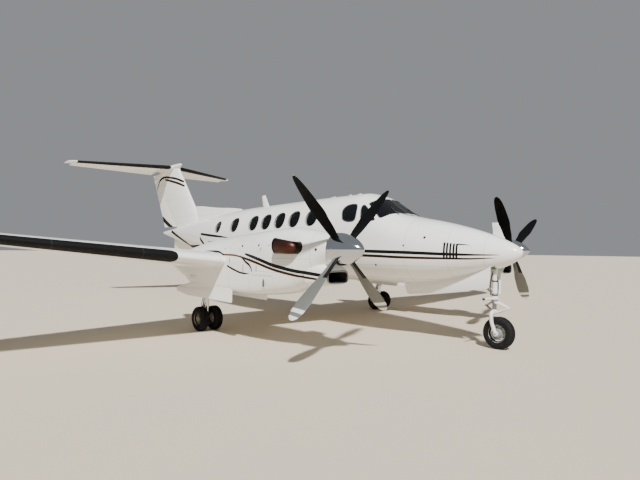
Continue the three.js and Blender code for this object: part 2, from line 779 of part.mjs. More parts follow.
// Air intake under the spinner: station, half width, top, bottom, widest height, squareness
const INTAKE = [
  [1590, 222, 1348, 1136, 1242, 4.5, 4.5],
  [1650, 230, 1408, 1124, 1248, 3.6, 4.3],
  [1760, 244, 1430, 1112, 1250, 3.6, 4],
  [2050, 270, 1420, 1075, 1240, 3.5, 3.5],
];
const INTAKE_HOLE = [
  [1580, 196, 1322, 1160, 1241, 4.5, 4.5],
  [1780, 186, 1316, 1168, 1241, 4.5, 4.5],
  [2300, 186, 1316, 1168, 1241, 4.5, 4.5],
];
const ENGINE_Z = 1620;
const STACK_STATION = 2150;
const STACK_Z = 1668;

function nacelle(side, stations, inset = 0) {
  return slice(ovalBody(NACELLE, side * NACELLE_Y, inset, NACELLE_POINTS), stations);
}

function makeNacelles() {
  for (const [name, side] of SIDES) {
    const y = side * NACELLE_Y;
    const shell = join(
      nacelle(side, [COWL_START, FIREWALL]),
      ovalBody(INTAKE, y, 0, NACELLE_POINTS),
    );
    const hollow = nacelle(side, [COWL_START + 80, FIREWALL + 10], COWL_WALL);
    const hole = ovalBody(INTAKE_HOLE, y, 0, NACELLE_POINTS);
    const shaftHole = bar([atStation(1600), y, THRUST_Z], [atStation(1820), y, THRUST_Z], 120, 120, 20);
    const [out, inn] = [600, -600].map((across) => [atStation(STACK_STATION), y + across, STACK_Z]);
    const stackHole = bar(out, inn, 96, 96, 16);
    addNode(`cowl_${name}`, cut(shell, hollow, hole, shaftHole, stackHole), PAINT);

    const well = stationBox(WELL_STATIONS, [y - WELL_HALF, y + WELL_HALF], [800, WELL_TOP]);
    const body = cut(nacelle(side, [FIREWALL + SEAT_GAP, 6760]), wholeCentre(SEAT_GAP), well);
    addNode(`nacelle_${name}`, body, PAINT);

    addNode(`engine_${name}`, makeEngine(y), GREY_METAL);
    makeGearDoors(name, side);
  }
}

// Engine as a stepped block with its two exhaust stacks
function makeEngine(y) {
  const profile = [
    [atStation(FIREWALL - SEAT_GAP), 0],
    [atStation(FIREWALL - SEAT_GAP), 170],
    [atStation(3060), 225],
    [atStation(2420), 238],
    [atStation(2120), 250],
    [atStation(1900), 235],
    [atStation(1850), 165],
    [atStation(1800), 150],
    [atStation(1800), 0],
  ];
  const block = turnedAboutX(profile, 12, y, ENGINE_Z);
  return join(block, exhaustStack(y, 1), exhaustStack(y, -1));
}

// Exhaust stack rows: distance aft of the exit, distance out, rise, turn from sideways to aft,
// half depth and half height
const STACK = [
  [0, 150, 0, 0, 84, 88],
  [0, 330, 0, 0, 84, 92],
  [34, 396, 2, 34, 84, 98],
  [104, 425, 8, 68, 80, 104],
  [210, 432, 16, 90, 78, 110],
  [380, 432, 28, 90, 76, 122],
];
const STACK_SIDES = 14;

function exhaustStack(y, out) {
  const ring = ([back, across, rise, turn, depth, height], thin) => {
    const angle = THREE.MathUtils.degToRad(turn);
    return Array.from({ length: STACK_SIDES }, (unused, i) => {
      const around = (2 * Math.PI * i) / STACK_SIDES;
      const wide = (depth - thin) * Math.cos(around);
      const up = (height - thin) * Math.sin(around);
      return [
        atStation(STACK_STATION + back - wide * Math.cos(angle)),
        y + out * (across + wide * Math.sin(angle)),
        STACK_Z + rise + up,
      ];
    });
  };
  const pipe = loft(STACK.map((row) => ring(row, 0)));
  const mouth = loft([ring([200, ...STACK[5].slice(1)], 40), ring([400, ...STACK[5].slice(1)], 8)]);
  return cut(pipe, mouth);
}

// Main gear doors hang open below the nacelle's lower edges
const DOOR_PLATE = [
  [3850, 697], [5400, 722], [5836, 775], [5836, 870], [5300, 972], [5300, 1150], [3850, 1150],
];
const DOOR_HALF_OUT = 384;
const DOOR_THICK = 22;

function makeGearDoors(name, side) {
  for (const [place, out] of [['outer', side], ['inner', -side]]) {
    const face = side * NACELLE_Y + out * DOOR_HALF_OUT;
    const ys = [face, face - out * DOOR_THICK];
    const ringAt = (y) => DOOR_PLATE.map(([station, height]) => [atStation(station), y, height]);
    const plate = loft(ys.map(ringAt));
    const door = cut(plate, nacelle(side, [3400, 6700], -SEAT_GAP));
    const lowest = stationBox([3800, 5900], [face - 60, face + 60], [600, 1128]);
    addNode(`gear_door_${name}_${place}`, door.intersect(lowest), PAINT);
  }
}

// Four-blade propeller, parked feathered
// Blade rows: radius, chord, thickness, angle from the disc
const BLADE = [
  [120, 96, 90, 104],
  [260, 122, 74, 102],
  [420, 182, 46, 99],
  [560, 208, 38, 97],
  [760, 266, 28, 93],
  [1000, 262, 20, 84],
  [1190, 220, 14, 80],
  [1295, 150, 9, 78],
  [PROP_RADIUS + 8, 46, 6, 78],
];
const SPINNER = [
  [1600, 0], [1600, 246], [1520, 243], [1400, 220], [1280, 174], [1180, 116], [1105, 50], [1075, 0],
];
const BLADE_PHASE = { left: 33.5, right: 44.1 };
const BLADE_OUTLINE = [[0.5, 0.1], [0.2, 0.42], [-0.15, 0.5], [-0.5, 0.12], [-0.5, -0.12], [-0.15, -0.5],
  [0.2, -0.42], [0.5, -0.1]];

function makePropellers() {
  for (const [name, side] of SIDES) {
    const y = side * NACELLE_Y;
    const profile = SPINNER.map(([station, radius]) => [atStation(station), radius]);
    const spinner = turnedAboutX(profile, 20, y, THRUST_Z);
    const shaft = bar([atStation(1590), y, THRUST_Z], [atStation(1800 - SEAT_GAP), y, THRUST_Z], 95, 95, 12);
    const blades = [0, 1, 2, 3].map((number) => {
      const angle = THREE.MathUtils.degToRad(BLADE_PHASE[name] + 90 * number);
      return blade(y, angle);
    });
    addNode(`propeller_${name}`, join(spinner, shaft, ...blades), METAL);
  }
}

// The propeller turns clockwise as seen from behind
function blade(y, angle) {
  const outward = new THREE.Vector3(0, Math.cos(angle), Math.sin(angle));
  const turning = new THREE.Vector3(0, -Math.sin(angle), Math.cos(angle));
  const forward = new THREE.Vector3(1, 0, 0);
  return loft(BLADE.map(([radius, chord, thick, degrees]) => {
    const pitch = THREE.MathUtils.degToRad(degrees);
    const along = turning.clone().multiplyScalar(Math.cos(pitch)).addScaledVector(forward, Math.sin(pitch));
    const across = new THREE.Vector3().crossVectors(outward, along);
    return BLADE_OUTLINE.map(([c, t]) => {
      const point = new THREE.Vector3(atStation(PROP_STATION), y, THRUST_Z)
        .addScaledVector(outward, radius)
        .addScaledVector(along, c * chord)
        .addScaledVector(across, t * thick);
      return [point.x, point.y, point.z];
    });
  }));
}

// Fin, rudder and tailplane. Fin edges are straight lines in side view
function finLead(z) {
  return 10710 + 0.822 * (z - 2910);
}

function finTrail(z) {
  return 12850 + 0.459 * (z - 2090);
}

function rudderHinge(z) {
  return 11785 + 0.71 * (z - 2319);
}

const FIN_RATIO = 0.09;
const FIN_BOTTOM = 2000;
const RUDDER_HEIGHTS = [2310, 4130];

function finRing(z) {
  const lead = finLead(z);
  return wingOutline(finTrail(z) - lead, FIN_RATIO, 0).map(([aft, up]) => [atStation(lead + aft), up, z]);
}

function rudderEnd(z) {
  const chord = finTrail(z) - finLead(z);
  const share = (rudderHinge(z) - finLead(z)) / chord;
  return {
    hinge: [atStation(rudderHinge(z)), 0, z],
    radius: (chord * halfThickness(share, FIN_RATIO) - 1) * 0.92,
    chord: (finTrail(z) - rudderHinge(z)) * 0.82,
  };
}

// Dorsal fillet ahead of the fin: [station, height] along its ridge
const DORSAL = [
  [8080, 2640], [8120, 2712], [9400, 2812], [10720, 2916], [11300, 2916], [11300, 2200], [8600, 2500],
];
const DORSAL_HALF = 26;

function tailplanePlan() {
  return [[0, 11950, 1550], [2700, 13220, 660], [2805, 13350, 530]];
}

const STABILISER_RATIO = 0.11;
const ELEVATOR_SHARE = 0.62;
const ELEVATOR_OUTS = [200, 2660];
const ELEVATOR_DROOP = 14;

function stabiliserRing([out, lead, chord], side, grow) {
  return wingOutline(chord, STABILISER_RATIO, grow).map(([aft, up]) => [
    atStation(lead + aft), side * out, STABILISER_Z + up,
  ]);
}

function stabiliser(grow = 0) {
  const rows = tailplanePlan();
  const left = rows.slice(1).reverse().map((row) => stabiliserRing(row, 1, grow));
  const right = rows.slice(1).map((row) => stabiliserRing(row, -1, grow));
  return loft([...left, stabiliserRing(rows[0], 1, grow), ...right]);
}

function stabiliserRowAt(out) {
  const [root, tip] = tailplanePlan();
  const share = out / tip[0];
  return root.map((value, i) => value + share * (tip[i] - value));
}

function elevatorHinge(side, out) {
  const [, lead, chord] = stabiliserRowAt(out);
  return {
    hinge: [atStation(lead + chord * ELEVATOR_SHARE), side * out, STABILISER_Z],
    radius: chord * halfThickness(ELEVATOR_SHARE, STABILISER_RATIO) - 1,
    chord: chord * (1 - ELEVATOR_SHARE) * 0.965,
  };
}

// Turns a solid about its hinge line, trailing edge down
function droop(solid, ends, degrees) {
  const { first, axis, aft, lift } = hingeFrame(ends, UP);
  const way = new THREE.Vector3().crossVectors(axis, aft).dot(lift) > 0 ? -1 : 1;
  const turn = new THREE.Matrix4().makeRotationAxis(axis, way * THREE.MathUtils.degToRad(degrees));
  turn.premultiply(new THREE.Matrix4().makeTranslation(first.x, first.y, first.z));
  turn.multiply(new THREE.Matrix4().makeTranslation(-first.x, -first.y, -first.z));
  return solid.transform(turn.elements);
}

// Bullet fairing over the fin: station, half width, top, bottom, widest height, squareness
const BULLET = [
  [11640, 14, 4342, 4314, 4328, 2, 2],
  [11700, 52, 4362, 4270, 4318, 2, 2],
  [11900, 84, 4370, 4196, 4290, 2, 2],
  [12500, 88, 4358, 4188, 4276, 2, 2],
  [12860, 76, 4340, 4200, 4270, 2, 2],
];

function bullet(inset = 0) {
  return ovalBody(BULLET, 0, inset, 20);
}

const RUDDER_SHARES = [0.17, 0.4, 0.63];
const ELEVATOR_SHARES = [0.25, 0.75];

function makeTail() {
  const heights = [FIN_BOTTOM, 4262];
  const dorsal = loft([-DORSAL_HALF, DORSAL_HALF].map(
    (y) => DORSAL.map(([station, height]) => [atStation(station), y, height]),
  ));
  const rudderEnds = [rudderEnd(RUDDER_HEIGHTS[0] - 300), rudderEnd(RUDDER_HEIGHTS[1] + 800)];
  const sideways = new THREE.Vector3(0, 1, 0);
  const fin = cut(
    join(loft(heights.map(finRing)), dorsal),
    fuselage([7000, TAIL_END], -SEAT_GAP),
    stabiliser(SEAT_GAP),
    bullet(-SEAT_GAP),
    cove(rudderEnds, sideways, 0),
    stationBox([11300, 13000], [-300, 300], [1900, 2240]),
  );
  addNode('fin', join(fin, ...hingeArms(rudderEnds, sideways, RUDDER_SHARES)), PAINT);
  const rudderSpace = stationBox([11000, 14300], [-300, 300], RUDDER_HEIGHTS);
  const rudderNotches = hingeNotches(rudderEnds, sideways, RUDDER_SHARES);
  const rudder = cut(hingedSurface(rudderEnds, sideways), ...rudderNotches);
  addNode('rudder', rudder.intersect(rudderSpace), PAINT);

  let tailplane = join(stabiliser(), bullet());
  for (const [name, side] of SIDES) {
    const ends = [elevatorHinge(side, -300), elevatorHinge(side, ELEVATOR_OUTS[1] + 300)];
    const [inner, outer] = ELEVATOR_OUTS;
    const shares = ELEVATOR_SHARES.map((share) => (share * (outer - inner) + inner + 300) / (outer + 600));
    const reach = (room) => [side * (inner - room), side * (outer + room)];
    const span = (room) => stationBox([12000, 14500], reach(room), [4000, 4500]);
    const arms = hingeArms(ends, UP, shares);
    tailplane = join(cut(tailplane, cove(ends, UP, 0).intersect(span(END_GAP))), ...arms);
    const elevator = cut(hingedSurface(ends, UP), ...hingeNotches(ends, UP, shares));
    addNode(`elevator_${name}`, droop(elevator.intersect(span(0)), ends, ELEVATOR_DROOP), PAINT);
  }
  addNode('tailplane', tailplane, PAINT);
}

// Landing gear
const WHEEL_SIDES = 20;

// A tyre on its rim: radii by distance from the wheel's middle
function wheel(radius, half, rimRadius, x, y, z) {
  const flat = radius / Math.cos(Math.PI / WHEEL_SIDES);
  const rows = [
    [BORE_R, -half * 0.6], [rimRadius * 0.85, -half * 0.6], [rimRadius, -half * 0.85],
    [radius * 0.82, -half], [radius * 0.95, -half * 0.75], [flat, -half * 0.4],
    [flat, half * 0.4], [radius * 0.95, half * 0.75], [radius * 0.82, half],
    [rimRadius, half * 0.85], [rimRadius * 0.85, half * 0.6], [BORE_R, half * 0.6],
    [BORE_R, -half * 0.6],
  ];
  const profile = rows.map(([r, across]) => new THREE.Vector2(r, across));
  const geometry = new THREE.LatheGeometry(profile, WHEEL_SIDES);
  geometry.rotateY(Math.PI / WHEEL_SIDES);
  geometry.translate(x, y, z);
  return toSolid(geometry);
}

function makeMainGear() {
  for (const [name, side] of SIDES) {
    const y = side * NACELLE_Y;
    const x = atStation(MAIN_STATION);
    const z = MAIN_TYRE_R;
    for (const [place, out] of [['outer', side], ['inner', -side]]) {
      const wheelY = y + out * MAIN_TWIN_HALF;
      addNode(`main_wheel_${name}_${place}`, wheel(MAIN_TYRE_R, MAIN_TYRE_HALF, 118, x, wheelY, z), RUBBER);
    }
    const pivot = WELL_HALF - SEAT_GAP;
    const leg = join(
      bar([x, y, WELL_TOP - SEAT_GAP], [x, y, 640], 58, 52, 12),
      bar([x, y, 680], [x, y, z + 20], 36, 36),
      bar([x, y, z + 62], [x, y, z - 40], 44, 44),
      bar([x, y - 214, z], [x, y + 214, z], AXLE_R, AXLE_R, 12),
      bar([x, y - pivot, 1110], [x, y + pivot, 1110], 40, 40),
      bar([x, y, 760], [x + 620, y, 1120], 26, 26, 8),
      bar([x + 620, y - pivot, 1120], [x + 620, y + pivot, 1120], 24, 24, 8),
      torqueLinks(x, y, 700, 470, 300, -1),
    );
    addNode(`main_leg_${name}`, leg, METAL);
  }
}

// Two links that meet in an elbow before or behind an oleo leg
function torqueLinks(x, y, top, elbow, bottom, facing) {
  const reach = x + facing * 150;
  return join(
    bar([x + facing * 20, y, top], [reach, y, elbow], 20, 16, 6),
    bar([reach, y, elbow], [x + facing * 20, y, bottom], 16, 20, 6),
    bar([reach, y - 34, elbow], [reach, y + 34, elbow], 22, 22, 6),
  );
}

function makeNoseGear() {
  const x = atStation(NOSE_LEG_STATION);
  const wheelX = atStation(NOSE_WHEEL_STATION);
  const z = NOSE_TYRE_R;
  const wide = NOSE_WELL_HALF - SEAT_GAP;
  const leg = join(
    bar([x, 0, 1380], [x, 0, COLLAR_Z], 48, 44),
    bar([x, -wide, 1340], [x, wide, 1340], 34, 34, 8),
    bar([x, 0, 900], [x - 560, 0, 1330], 24, 24, 8),
    bar([x - 560, -wide, 1330], [x - 560, wide, 1330], 22, 22, 8),
    bar([x, 0, 1000], [x, 0, 940], 60, 60),
  );
  addNode('nose_leg', leg, METAL);

  const armY = NOSE_TYRE_HALF + 32;
  const fork = join(
    bar([x, 0, COLLAR_Z - SEAT_GAP], [x, 0, 620], 36, 36),
    bar([x, 0, COLLAR_Z - SEAT_GAP], [x, 0, 770], 56, 56),
    bar([x, 0, 650], [x, 0, 590], 52, 46),
    forkArm(x, wheelX, z, armY),
    bar([wheelX, -armY - 12, z], [wheelX, NOSE_TYRE_HALF + 14, z], AXLE_R, AXLE_R, 12),
    torqueLinks(x, 0, 790, 720, 620, -1),
    bar([x + 30, 0, 690], [x + 215, 0, 700], 22, 60),
  );
  addNode('nose_fork', fork, PAINT);
  addNode('nose_wheel', wheel(NOSE_TYRE_R, NOSE_TYRE_HALF, 150, wheelX, 0, z), RUBBER);
}

// Nose gear doors hang open beside the well: [station, height] round a plate
const NOSE_DOOR = [
  [470, 1250], [500, 1017], [662, 997], [1451, 878], [2175, 808], [NOSE_DOOR_END, 960], [NOSE_DOOR_END, 1300],
  [470, 1500],
];
const NOSE_DOOR_THICK = 16;

function makeNoseDoors() {
  for (const [name, side] of SIDES) {
    const faces = [NOSE_WELL_HALF + 6, NOSE_WELL_HALF + 6 + NOSE_DOOR_THICK];
    const ringAt = (out) => NOSE_DOOR.map(([station, z]) => [atStation(station), side * out, z]);
    const plate = loft(faces.map(ringAt));
    const below = cut(plate, fuselage([200, 2600], -SEAT_GAP));
    const space = stationBox([400, 2400], [side * 100, side * 300], [700, 1425]);
    addNode(`nose_gear_door_${name}`, below.intersect(space), PAINT);
  }
}

// One curved arm on the right of the nose wheel and its crown over the tyre
function forkArm(x, wheelX, z, armY) {
  const arm = [[x, 0, 610], [x, -armY, 590], [x + 20, -armY, 440], [wheelX, -armY, z]];
  const pieces = arm.slice(1).map((end, i) => bar(arm[i], end, 34 - i * 3, 31 - i * 3, 8));
  const joints = arm.slice(1).map(([px, py, pz], i) => {
    const r = 34 - i * 3;
    return bar([px, py - 16, pz], [px, py + 16, pz], r, r, 8);
  });
  return join(...pieces, ...joints);
}

makeFuselage();
makeGlass();
makeInterior();
makeWings();
makeNacelles();
makePropellers();
makeTail();
makeMainGear();
makeNoseGear();
makeNoseDoors();

export default plane;
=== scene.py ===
# Looks of a twin turboprop business plane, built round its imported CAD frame
import math

import bmesh
import bpy
from mathutils import Matrix, Vector


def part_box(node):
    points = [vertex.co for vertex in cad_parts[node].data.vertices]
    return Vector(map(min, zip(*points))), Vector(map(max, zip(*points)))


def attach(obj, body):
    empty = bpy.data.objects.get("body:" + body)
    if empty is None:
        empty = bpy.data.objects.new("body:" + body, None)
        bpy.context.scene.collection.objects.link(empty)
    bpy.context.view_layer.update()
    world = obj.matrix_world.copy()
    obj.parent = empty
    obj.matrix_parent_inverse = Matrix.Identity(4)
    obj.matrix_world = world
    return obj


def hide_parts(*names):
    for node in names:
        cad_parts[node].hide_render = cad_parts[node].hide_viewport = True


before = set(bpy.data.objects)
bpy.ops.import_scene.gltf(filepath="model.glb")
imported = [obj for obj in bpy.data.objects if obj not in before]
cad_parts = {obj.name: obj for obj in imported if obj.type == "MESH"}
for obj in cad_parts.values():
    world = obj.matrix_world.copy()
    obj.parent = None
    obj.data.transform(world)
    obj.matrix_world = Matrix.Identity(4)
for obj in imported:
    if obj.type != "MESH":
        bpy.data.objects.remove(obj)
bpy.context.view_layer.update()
print("frame loaded")

sides = {"left": 1, "right": -1}
noseX = 6.940  # the nose tip; stations run aft from it in millimetres
nacelleY = 2617  # how far out a nacelle's middle is, in millimetres
thrustZ = 1.650  # the height of the propellers' middle


def stationX(station):
    return noseX - station / 1000


def pointAt(station, y, z):  # a point, from millimetres
    return Vector((stationX(station), y / 1000, z / 1000))


# Rows of numbers joined by curves that never overshoot
class SmoothTable:
    def __init__(self, rows, bend=lambda key: key):
        self.bend = bend
        self.keys = [bend(row[0]) for row in rows]
        self.columns = [list(column) for column in zip(*rows)][1:]
        self.slopes = [self.slopesOf(column) for column in self.columns]

    def slopesOf(self, values):
        gaps = [after - before for before, after in zip(self.keys, self.keys[1:])]
        steps = [(values[i + 1] - values[i]) / gap for i, gap in enumerate(gaps)]
        inner = [0 if a * b <= 0 else 2 * a * b / (a + b) for a, b in zip(steps, steps[1:])]
        return [steps[0], *inner, steps[-1]]

    def at(self, place):
        key = min(max(self.bend(place), self.keys[0]), self.keys[-1])
        i = max(0, min(len(self.keys) - 2, sum(known <= key for known in self.keys) - 1))
        gap = self.keys[i + 1] - self.keys[i]
        t = (key - self.keys[i]) / gap
        found = []
        for values, slopes in zip(self.columns, self.slopes):
            low = (1 + 2 * t) * (1 - t) ** 2 * values[i] + t * (1 - t) ** 2 * gap * slopes[i]
            high = t * t * (3 - 2 * t) * values[i + 1] + t * t * (t - 1) * gap * slopes[i + 1]
            found.append(low + high)
        return found


def spread(first, last, count):
    return [first + (last - first) * i / count for i in range(count + 1)]


# Meshes
def addPiece(name, mesh):
    data = bpy.data.meshes.new(name)
    mesh.to_mesh(data)
    mesh.free()
    piece = bpy.data.objects.new(name, data)
    bpy.context.scene.collection.objects.link(piece)
    return piece


def closeUp(mesh):
    bmesh.ops.remove_doubles(mesh, verts=mesh.verts, dist=1e-5)
    bmesh.ops.dissolve_degenerate(mesh, edges=mesh.edges, dist=1e-6)
    bmesh.ops.holes_fill(mesh, edges=[edge for edge in mesh.edges if edge.is_boundary], sides=0)
    bmesh.ops.recalc_face_normals(mesh, faces=mesh.faces)


# A closed skin through rings that all have the same number of points
def skin(name, rings):
    count = len(rings[0])
    mesh = bmesh.new()
    bmesh.ops.create_grid(mesh, x_segments=len(rings) - 1, y_segments=count, size=1)
    for vert in mesh.verts:
        ring = round((vert.co.x + 1) / 2 * (len(rings) - 1))
        point = round((vert.co.y + 1) / 2 * count) % count
        vert.co = rings[ring][point]
    closeUp(mesh)
    return addPiece(name, mesh)


def merged(name, pieces):
    mesh = bmesh.new()
    for piece in pieces:
        mesh.from_mesh(piece.data)
        bpy.data.objects.remove(piece)
    return addPiece(name, mesh)


def applyModifiers(piece):
    bpy.context.view_layer.update()
    graph = bpy.context.evaluated_depsgraph_get()
    mesh = bpy.data.meshes.new_from_object(piece.evaluated_get(graph))
    piece.modifiers.clear()
    piece.data = mesh
    return piece


def carve(piece, cutters, operation="DIFFERENCE"):
    for cutter in cutters:
        modifier = piece.modifiers.new("carve", "BOOLEAN")
        modifier.operation = operation
        modifier.solver = "MANIFOLD"
        modifier.object = cutter
    applyModifiers(piece)
    if len(piece.data.polygons) == 0:
        print("nothing is left of", piece.name)
    for cutter in cutters:
        bpy.data.objects.remove(cutter)
    return piece


def softenEdges(piece, width, segments=2, angle=35):
    modifier = piece.modifiers.new("soften", "BEVEL")
    modifier.width = width
    modifier.segments = segments
    modifier.limit_method = "ANGLE"
    modifier.angle_limit = math.radians(angle)
    return applyModifiers(piece)


def block(name, low, high, edge=0.003, segments=2):
    mesh = bmesh.new()
    bmesh.ops.create_cube(mesh, size=1)
    low, high = Vector(low), Vector(high)
    for vert in mesh.verts:
        vert.co = (low + high) / 2 + Vector(a * b for a, b in zip(vert.co, high - low))
    bmesh.ops.bevel(
        mesh, geom=mesh.edges[:], offset=edge, segments=segments, profile=0.5, affect="EDGES", material=-1,
    )
    return addPiece(name, mesh)


# A shape turned about an axis, from pairs of a place along it and a radius
def turned(name, profile, centre, axis, steps=48):
    turn = Vector((1, 0, 0)).rotation_difference(Vector(axis)).to_matrix()
    mesh = bmesh.new()
    points = [mesh.verts.new(Vector(centre) + turn @ Vector((along, 0, radius))) for along, radius in profile]
    edges = [mesh.edges.new(pair) for pair in zip(points, points[1:])]
    bmesh.ops.spin(
        mesh, geom=[*points, *edges], cent=centre, axis=axis, angle=math.tau, steps=steps, use_merge=True,
    )
    closeUp(mesh)
    return addPiece(name, mesh)


def curveThrough(corners, steps=8):
    points = [Vector(corner) for corner in corners]
    found = []
    for i in range(len(points) - 1):
        before, start = points[max(0, i - 1)], points[i]
        end, after = points[i + 1], points[min(len(points) - 1, i + 2)]
        for step in range(steps):
            t = step / steps
            bend = (end - before) * t + (2 * before - 5 * start + 4 * end - after) * t * t
            bend += (3 * start - before - 3 * end + after) * t ** 3
            found.append(start + bend / 2)
    return [*found, points[-1]]


# A round tube along points, closed at its ends or run on into itself
def tube(name, points, radii, count=12, loop=False, flat=1.0):
    points = [Vector(point) for point in points]
    radii = radii if hasattr(radii, "__len__") else [radii] * len(points)
    if len(radii) == 2 and len(points) > 2:
        radii = spread(radii[0], radii[1], len(points) - 1)
    ways = []
    for i in range(len(points)):
        behind = points[i - 1] if i > 0 or loop else points[0]
        ahead = points[(i + 1) % len(points)] if i + 1 < len(points) or loop else points[-1]
        ways.append((ahead - behind).normalized())
    across = min(Matrix.Identity(3), key=lambda row: max(abs(way.dot(row)) for way in ways))
    rings = []
    for point, way, radius in zip(points, ways, radii):
        side = way.cross(across).normalized()
        lift = side.cross(way)
        angles = [math.tau * k / count for k in range(count)]
        rings.append([point + radius * (side * math.cos(a) + lift * math.sin(a) * flat) for a in angles])
    return skin(name, [*rings, rings[0]] if loop else rings)


# Shader arithmetic: a socket with operators
class Shade:
    def __init__(self, finish, socket):
        self.finish = finish
        self.socket = socket

    def maths(self, operation, *others):
        return self.finish.node("ShaderNodeMath", {"operation": operation}, dict(enumerate((self, *others))))

    def __add__(self, other):
        return self.maths("ADD", other)

    def __sub__(self, other):
        return self.maths("SUBTRACT", other)

    def __mul__(self, other):
        return self.maths("MULTIPLY", other)

    def __truediv__(self, other):
        return self.maths("DIVIDE", other)

    def __gt__(self, other):
        return self.maths("GREATER_THAN", other)

    def __lt__(self, other):
        return self.maths("LESS_THAN", other)

    def __mod__(self, other):
        return self.maths("FLOORED_MODULO", other)

    def __neg__(self):
        return self * -1

    def __abs__(self):
        return self.maths("ABSOLUTE")

    def __rsub__(self, other):
        return -self + other

    __radd__ = __add__
    __rmul__ = __mul__

    def step(self, low, high):  # 0 below low, 1 above high, smooth between
        sockets = {"Value": self, "From Min": low, "From Max": high}
        return self.finish.node("ShaderNodeMapRange", {"interpolation_type": "SMOOTHSTEP"}, sockets)

    def positive(self, softness):  # 1 above zero, with a soft edge
        return self.step(-softness, softness)


def both(*masks):
    found = masks[0]
    for mask in masks[1:]:
        found = found * mask
    return found


def either(*masks):
    found = masks[0]
    for mask in masks[1:]:
        found = found.maths("MAXIMUM", mask)
    return found


def within(value, low, high):
    return both(value > low, value < high)


def paint(hexCode):
    parts = [int(hexCode[i:i + 2], 16) / 255 for i in (0, 2, 4)]
    return (*(part / 12.92 if part < 0.04045 else ((part + 0.055) / 1.055) ** 2.4 for part in parts), 1)


class Finish:
    def __init__(self, name, colour, roughness=0.5, metallic=0.0, **fixed):
        self.material = bpy.data.materials.new(name)
        self.material.use_nodes = True
        self.tree = self.material.node_tree
        self.shader = self.tree.nodes["Principled BSDF"]
        self.colour = paint(colour)
        self.sheen = roughness
        self.shader.inputs["Metallic"].default_value = metallic
        for socket, value in fixed.items():
            self.shader.inputs[socket.replace("_", " ")].default_value = value
        self.spot = self.node("ShaderNodeTexCoord", {}, {}, "Object")
        parts = self.node("ShaderNodeSeparateXYZ", {}, {0: self.spot})
        self.x, self.y, self.z = (Shade(self, socket) for socket in parts.socket.node.outputs)
        self.height = None
        self.coat = None

    def node(self, kind, settings, sockets, output=0):
        made = self.tree.nodes.new(kind)
        for setting, value in settings.items():
            if setting == "curve":
                self.setCurve(made.mapping, value)
            else:
                setattr(made, setting, value)
        for socket, value in sockets.items():
            self.feed(made.inputs[socket], value)
        return Shade(self, made.outputs[output])

    def setCurve(self, mapping, points):
        curve = mapping.curves[0]
        while len(curve.points) < len(points):
            curve.points.new(0.5, 0.5)
        for knot, place in zip(curve.points, points):
            knot.location = place
            knot.handle_type = "AUTO_CLAMPED"
        mapping.update()

    def feed(self, socket, value):
        if isinstance(value, Shade):
            self.tree.links.new(value.socket, socket)
        else:
            socket.default_value = value

    def noise(self, scale, detail=3.0, stretch=(1, 1, 1)):
        place = self.node("ShaderNodeMapping", {}, {"Vector": self.spot, "Scale": stretch})
        return self.node("ShaderNodeTexNoise", {}, {"Vector": place, "Scale": scale, "Detail": detail})

    def blend(self, amount, first, second):
        sockets = {0: amount, 6: first, 7: second}
        return self.node("ShaderNodeMix", {"data_type": "RGBA"}, sockets, 2)

    def tint(self, amount, hexCode):  # lays a colour over what is there
        self.colour = self.blend(amount, self.colour, paint(hexCode))

    def decal(self, mask, hexCode):  # a colour on top of the gloss, which it dulls
        self.tint(mask, hexCode)
        self.coat = (1 - mask * gloss["lostCoat"]) * self.coat
        self.sheen = self.sheen + mask * gloss["dullness"]

    def stain(self, scale, low, high, amount, hexCode, stretch=(1, 1, 1)):  # soft patches of a colour
        self.tint(self.noise(scale, 5.0, stretch).step(low, high) * amount, hexCode)

    def vary(self, scale, low, high):  # roughness that wanders from low to high
        self.sheen = self.noise(scale, 4.0) * (high - low) + low

    def emboss(self, height):
        self.height = height if self.height is None else self.height + height

    def done(self, bumpDepth=0.001):
        self.feed(self.shader.inputs["Base Color"], self.colour)
        self.feed(self.shader.inputs["Roughness"], self.sheen)
        if self.coat is not None:
            self.feed(self.shader.inputs["Coat Weight"], self.coat)
        if self.height is not None:
            sockets = {"Strength": 1.0, "Distance": bumpDepth, "Height": self.height}
            self.feed(self.shader.inputs["Normal"], self.node("ShaderNodeBump", {}, sockets))
        return self.material


def dress(piece, finish, body="airframe", nodes=(), angle=35):
    piece.data.materials.clear()
    piece.data.materials.append(finishes[finish])
    piece.data.shade_smooth()
    piece.data.set_sharp_from_angle(angle=math.radians(angle))
    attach(piece, body)
    if nodes:
        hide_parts(*nodes)
    return piece


# Finishes
gloss = {
    "white": "f1f0ec", "coat": 0.55, "coatRoughness": 0.06, "specular": 0.2, "roughness": (0.18, 0.3),
    "grime": "cfcabd", "lostCoat": 0.95, "dullness": 0.45, "seam": "55565a", "bump": 0.0008,
}
widestStripe = 0.1  # half width, in metres, that a stripe's curve calls 1


def line(coordinate, place, width):
    return 1 - abs(coordinate - place).step(width * 0.5, width)


# A painted line on the side of the plane, from x, z and half width along it, in metres
def stripe(finish, points, softness=0.0015):
    xs, zs, halves = zip(*sorted(points))
    length, low, rise = xs[-1] - xs[0], min(zs), max(max(zs) - min(zs), 0.01)
    along = (finish.x - xs[0]) / length
    middleKnots = [((x - xs[0]) / length, (z - low) / rise) for x, z in zip(xs, zs)]
    halfKnots = [((x - xs[0]) / length, half / widestStripe) for x, half in zip(xs, halves)]
    middle = finish.node("ShaderNodeFloatCurve", {"curve": middleKnots}, {1: along}) * rise + low
    half = finish.node("ShaderNodeFloatCurve", {"curve": halfKnots}, {1: along}) * widestStripe
    inside = (half - abs(finish.z - middle)).positive(softness)
    return both(inside, within(finish.x, xs[0], xs[-1]))


